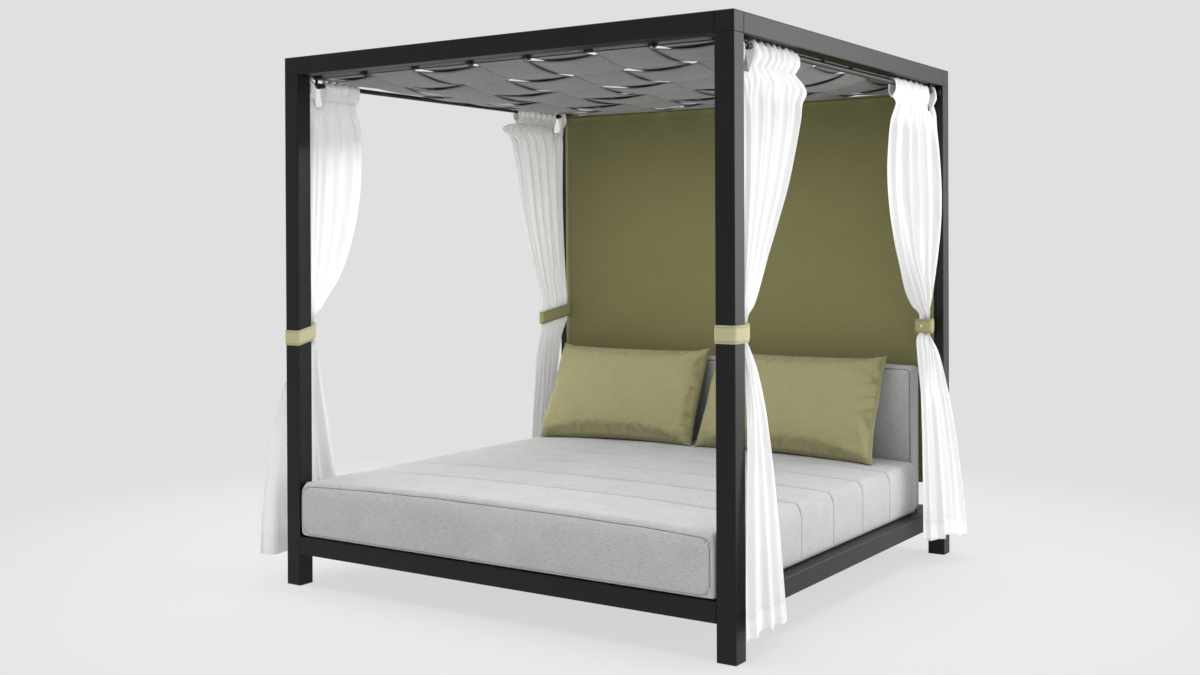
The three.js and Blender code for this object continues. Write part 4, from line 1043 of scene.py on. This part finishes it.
def inflate(obj):
    # the filling pushes the cover out, and the cover pulls its sides in, by no more than the cap
    modifier = obj.modifiers.new("filling", "CLOTH")
    for label, value in filling.items():
        setattr(modifier.settings, label, value)
    modifier.settings.uniform_pressure_force = pillow["pressure"]
    modifier.settings.effector_weights.gravity = 0
    modifier.collision_settings.use_collision = False
    modifier.point_cache.frame_start = 1
    modifier.point_cache.frame_end = pillow["frames"]
    scene = bpy.context.scene
    for step in range(1, pillow["frames"] + 1):
        scene.frame_set(step)
    evaluated = obj.evaluated_get(bpy.context.evaluated_depsgraph_get())
    filled = [v.co.copy() for v in evaluated.data.vertices]
    obj.modifiers.clear()
    scene.frame_set(1)
    for i, v in enumerate(obj.data.vertices):
        moved = filled[i] - v.co
        if moved.length > pillow["cap"]:
            filled[i] = v.co + moved * (pillow["cap"] / moved.length)
    return filled


def pullCreases(flat, rim, seed):
    # what the filling pulls in from the seams, across the nearest edge: a soft wave and a narrow valley,
    # which is also painted as shade
    fromSide, fromEnd = pillow["width"] / 2 - abs(flat.x), pillow["height"] / 2 - abs(flat.z)
    wave = valley = 0.0
    for weight, away, reach, place in ((1.5, fromSide, 0.060, (flat.z * 17, flat.x * 4, seed + 2.0)),
                                       (1.0, fromEnd, 0.045, (flat.x * 19, flat.z * 4, seed + 7.0))):
        value = wander(*place)
        strong = weight * math.exp(-max(0.0, away) / reach) * smooth(rim / 0.016)
        wave += strong * value
        valley = max(valley, strong * ridge(value, 0.13) ** 1.4)
    return 0.9 * wave - valley, valley


def makePillows():
    p = pillow
    base, rims = pillowShell("pillow_form")
    filled = inflate(base)
    wide, deep, tall = (max(v[i] for v in filled) - min(v[i] for v in filled) for i in range(3))
    print("pillow after filling:", [round(size, 3) for size in (wide, deep, tall)])
    foot = min(v.z for v in filled)
    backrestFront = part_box("backrest")[0].y
    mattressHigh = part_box("mattress")[1]
    lean = Matrix.Rotation(-math.radians(p["lean"]), 4, "X")
    flats = [v.co.copy() for v in base.data.vertices]
    for name, way in (("pillow_left", 1), ("pillow_right", -1)):
        boxLow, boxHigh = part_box(name)
        place = Vector(((boxLow.x + boxHigh.x) / 2, backrestFront - p["footFromBackrest"],
                        mattressHigh.z + p["lift"] - p["pressed"]))
        grow = Vector(((boxHigh.x - boxLow.x) / wide, p["thickness"] / deep,
                       (p["tall"] + p["pressed"]) / tall))
        points, lines = [], []
        for v, flat, rim in zip(filled, flats, rims):
            # the filling keeps the edges nearly straight between the corners
            a, b = clamp(abs(v.x) * 2 / wide), clamp(abs(v.z) * 2 / tall)
            q = Vector((way * v.x * grow.x * (1 + p["fullSides"] * (1 - b * b)), v.y * grow.y,
                        (v.z * (1 + p["fullEnds"] * (1 - a * a)) - foot) * grow.z))
            wave, valley = pullCreases(flat, rim, 5.0 if way < 0 else 0.0)
            q.y += math.copysign(1.0, v.y) * p["crease"] * wave
            # the seam line near the rim, and painted shade in the crease valleys
            line = ridge(rim - p["seamInset"], p["seamHalf"]) * 0.55
            lines.append(max(line, min(0.6, 0.75 * valley)))
            low = 1 - smooth(q.z / p["footHeight"])
            q.x *= 1 + p["spread"] * low
            q = lean @ q + place
            # it sits down on the mattress, lower towards the mattress's rounded side, and leans back
            outward = clamp(abs(q.x) / mattressHigh.x)
            q.z -= p["sink"] * low * outward ** 2.4
            surface = mattressHigh.z - mattress["crown"] + sideCrown(outward)
            q.z = max(q.z, surface + p["clearMattress"])
            q.y = min(q.y, backrestFront - p["clearBackrest"])
            points.append(q)
        faces = [tuple(f.vertices)[::way] for f in base.data.polygons]
        cushion = meshObject(f"{name}_cushion", points, faces)
        addFloats(cushion, "seam", lines)
        rounder = cushion.modifiers.new("rounder", "SUBSURF")
        rounder.levels = rounder.render_levels = 1
        withModifiers(cushion)
        finished(cushion, finishes["pillowCloth"], name, name, slot="pillow_cloth")
    bpy.data.objects.remove(base)
    print("pillows filled")


# rear panel

panel = dict(thickness=0.0016, columns=84, rows=72, turns=14, ripple=0.0016, stillEdge=0.25,
             runFrom=1.15, pocketLine=0.016, sideHem=0.018, lineHalf=0.010, hemHalf=0.012)


def makePanel():
    low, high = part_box("rear_panel")
    p = panel
    top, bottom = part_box("rear_panel_rod_top"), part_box("rear_panel_rod_bottom")
    rods = [(box[0].z + box[1].z) / 2 for box in (top, bottom)]
    radius = (high.y - low.y) / 2 - p["thickness"] / 2
    centreY = (low.y + high.y) / 2
    upper, lower = rods[0] - radius * p["runFrom"], rods[1] + radius * p["runFrom"]

    def turned(start, step, z):
        # part of the way round a rod, from its start in degrees, over the rod's far side
        angle = math.radians(start + 240 * step / p["turns"])
        return centreY + radius * math.cos(angle), z + radius * math.sin(angle)

    profile = [turned(-60, step, rods[0]) for step in range(p["turns"])]
    profile += [(centreY, mix(upper, lower, step / p["rows"])) for step in range(p["rows"] + 1)]
    profile += [turned(120, step + 1, rods[1]) for step in range(p["turns"])]
    points, seams, places = [], [], []
    run = 0.0
    before = profile[0]
    for y, z in profile:
        run += math.hypot(y - before[0], z - before[1])
        before = (y, z)
        still = min(smooth((upper - z) / p["stillEdge"]), smooth((z - lower) / p["stillEdge"]))
        pocket = max(1 - abs(z - upper + p["pocketLine"]) / p["lineHalf"],
                     1 - abs(z - lower - p["pocketLine"]) / p["lineHalf"])
        for c in range(p["columns"] + 1):
            share = c / p["columns"]
            x = mix(low.x, high.x, share)
            points.append(Vector((x, y + p["ripple"] * wander(x * 3.1, 0.4, z * 0.9) * still, z)))
            fromSide = min(share, 1 - share) * (high.x - low.x)
            seams.append(max(0.0, pocket, ridge(fromSide - p["sideHem"], p["hemHalf"])) * 0.5)
            places.append((x, run))
    cloth = meshObject("rear_cloth", points, gridFaces(len(profile), p["columns"] + 1))
    addFloats(cloth, "seam", seams)
    addUv(cloth, places)
    thicken(cloth, p["thickness"])
    finished(cloth, finishes["panelCloth"], "frame", "rear_panel", slot="panel_cloth")


# frame finishes

# by how a node's name starts; the rest of the frame has the frame's own coat
frameFinishes = dict(foot_pad="footPlastic", curtain_hook="blackCoat", canopy_rod="blackCoat",
                     rear_panel_rod="blackCoat", curtain_rod="rodCoat")


def finishFrame():
    for name, node in nodes.items():
        if not node.hide_render:
            kinds = [kind for start, kind in frameFinishes.items() if name.startswith(start)]
            node.data.materials.clear()
            node.data.materials.append(finishes[(kinds + ["frameCoat"])[0]])
    print("frame finished")


# floor, light and camera

studio = dict(pale=(0.745, 0.745, 0.745, 1), world=0.54, floorSize=40.0, floorDrop=0.0005,
              floorTone=(0.84, 0.84, 0.84, 1), floorShown=0.86, shadowFrom=1.6, shadowTo=3.6)
# each with its place, what it points at, its width and height, and its power in watts
lights = dict(
    rightBack=((5.6, 4.6, 2.4), (0.6, 0.2, 1.0), (4.5, 4.0), 262),
    leftSide=((-5.0, 0.3, 2.4), (-1.0, 0.0, 1.1), (4.0, 4.0), 122),
    lowRight=((4.4, -0.2, 0.5), (1.0, -0.2, 0.5), (4.5, 0.9), 26),
    above=((0.0, 0.0, 8.0), (0.0, 0.0, 0.0), (7.0, 7.0), 960),
    underCanopy=((0.0, -0.42, 1.90), (0.0, -0.22, 0.0), (1.6, 1.0), 19),
)


def makeFloor():
    # near the daybed the floor takes a soft shadow; farther off it only shows the pale background
    half, z = studio["floorSize"] / 2, -studio["floorDrop"]
    floor = meshObject("floor", [(-half, -half, z), (half, -half, z), (half, half, z), (-half, half, z)],
                       [(0, 1, 2, 3)])
    material, tree, shader = newMaterial("paleFloor")
    feedAll(tree, shader, {"Base Color": studio["floorTone"], "Roughness": 0.9, "Specular IOR Level": 0.0})
    glow = nodeOf(tree, "ShaderNodeEmission", dict(Color=studio["pale"]))
    rays = tree.nodes.new("ShaderNodeLightPath").outputs
    seen = calc(tree, "MAXIMUM", rays["Is Camera Ray"], rays["Is Glossy Ray"])
    distance = nodeOf(tree, "ShaderNodeVectorMath", {0: clothPlace(tree, False)}, operation="LENGTH")
    share = ranged(tree, distance.outputs["Value"], studio["shadowFrom"], studio["shadowTo"],
                   studio["floorShown"], 1.0)
    blendInto(tree, calc(tree, "MULTIPLY", seen, share), shader.outputs[0], glow.outputs[0],
              "Material Output")
    floor.data.materials.append(material)


def makeWorld():
    world = bpy.data.worlds.new("studio")
    bpy.context.scene.world = world
    world.use_nodes = True
    tree = world.node_tree
    light = tree.nodes["Background"]
    feedAll(tree, light, dict(Color=(1, 1, 1, 1), Strength=studio["world"]))
    seen = nodeOf(tree, "ShaderNodeBackground", dict(Color=studio["pale"]))
    rays = tree.nodes.new("ShaderNodeLightPath").outputs
    blendInto(tree, rays["Is Camera Ray"], light.outputs[0], seen.outputs[0], "World Output")


def makeLights():
    for name, (place, target, size, power) in lights.items():
        data = bpy.data.lights.new(name, "AREA")
        data.shape = "RECTANGLE"
        data.size, data.size_y = size
        data.energy = power
        lamp = linked(name, data)
        lamp.location = place
        lamp.rotation_euler = (Vector(target) - Vector(place)).to_track_quat("-Z", "Y").to_euler()
        lamp.visible_camera = False


cameraView = dict(place=(3.2278, -5.2280, 1.4050), yaw=34.499, pitch=-0.360, roll=-0.262, lens=42.134,
                  sensor=36.0, shiftX=0.03085, shiftY=-0.06876)


def makeCamera():
    c = cameraView
    data = bpy.data.cameras.new("photoView")
    data.sensor_width, data.lens = c["sensor"], c["lens"]
    data.shift_x, data.shift_y = c["shiftX"], c["shiftY"]
    camera = linked("photoView", data)
    turn = (Matrix.Rotation(math.radians(c["yaw"]), 4, "Z")
            @ Matrix.Rotation(math.radians(90 + c["pitch"]), 4, "X")
            @ Matrix.Rotation(math.radians(c["roll"]), 4, "Z"))
    camera.matrix_world = Matrix.Translation(c["place"]) @ turn
    bpy.context.scene.camera = camera


makeCamera()
makeFloor()
makeWorld()
makeLights()
print("stage made")
makeCanopy()
makePanel()
for cornerName in cornerNames:
    makeCurtain(cornerName)
    makeTie(cornerName)
print("panel, curtains and ties made")
makeMattress()
makeBackrest()
makePillows()
finishFrame()

bpy.context.scene.view_settings.view_transform = "Standard"
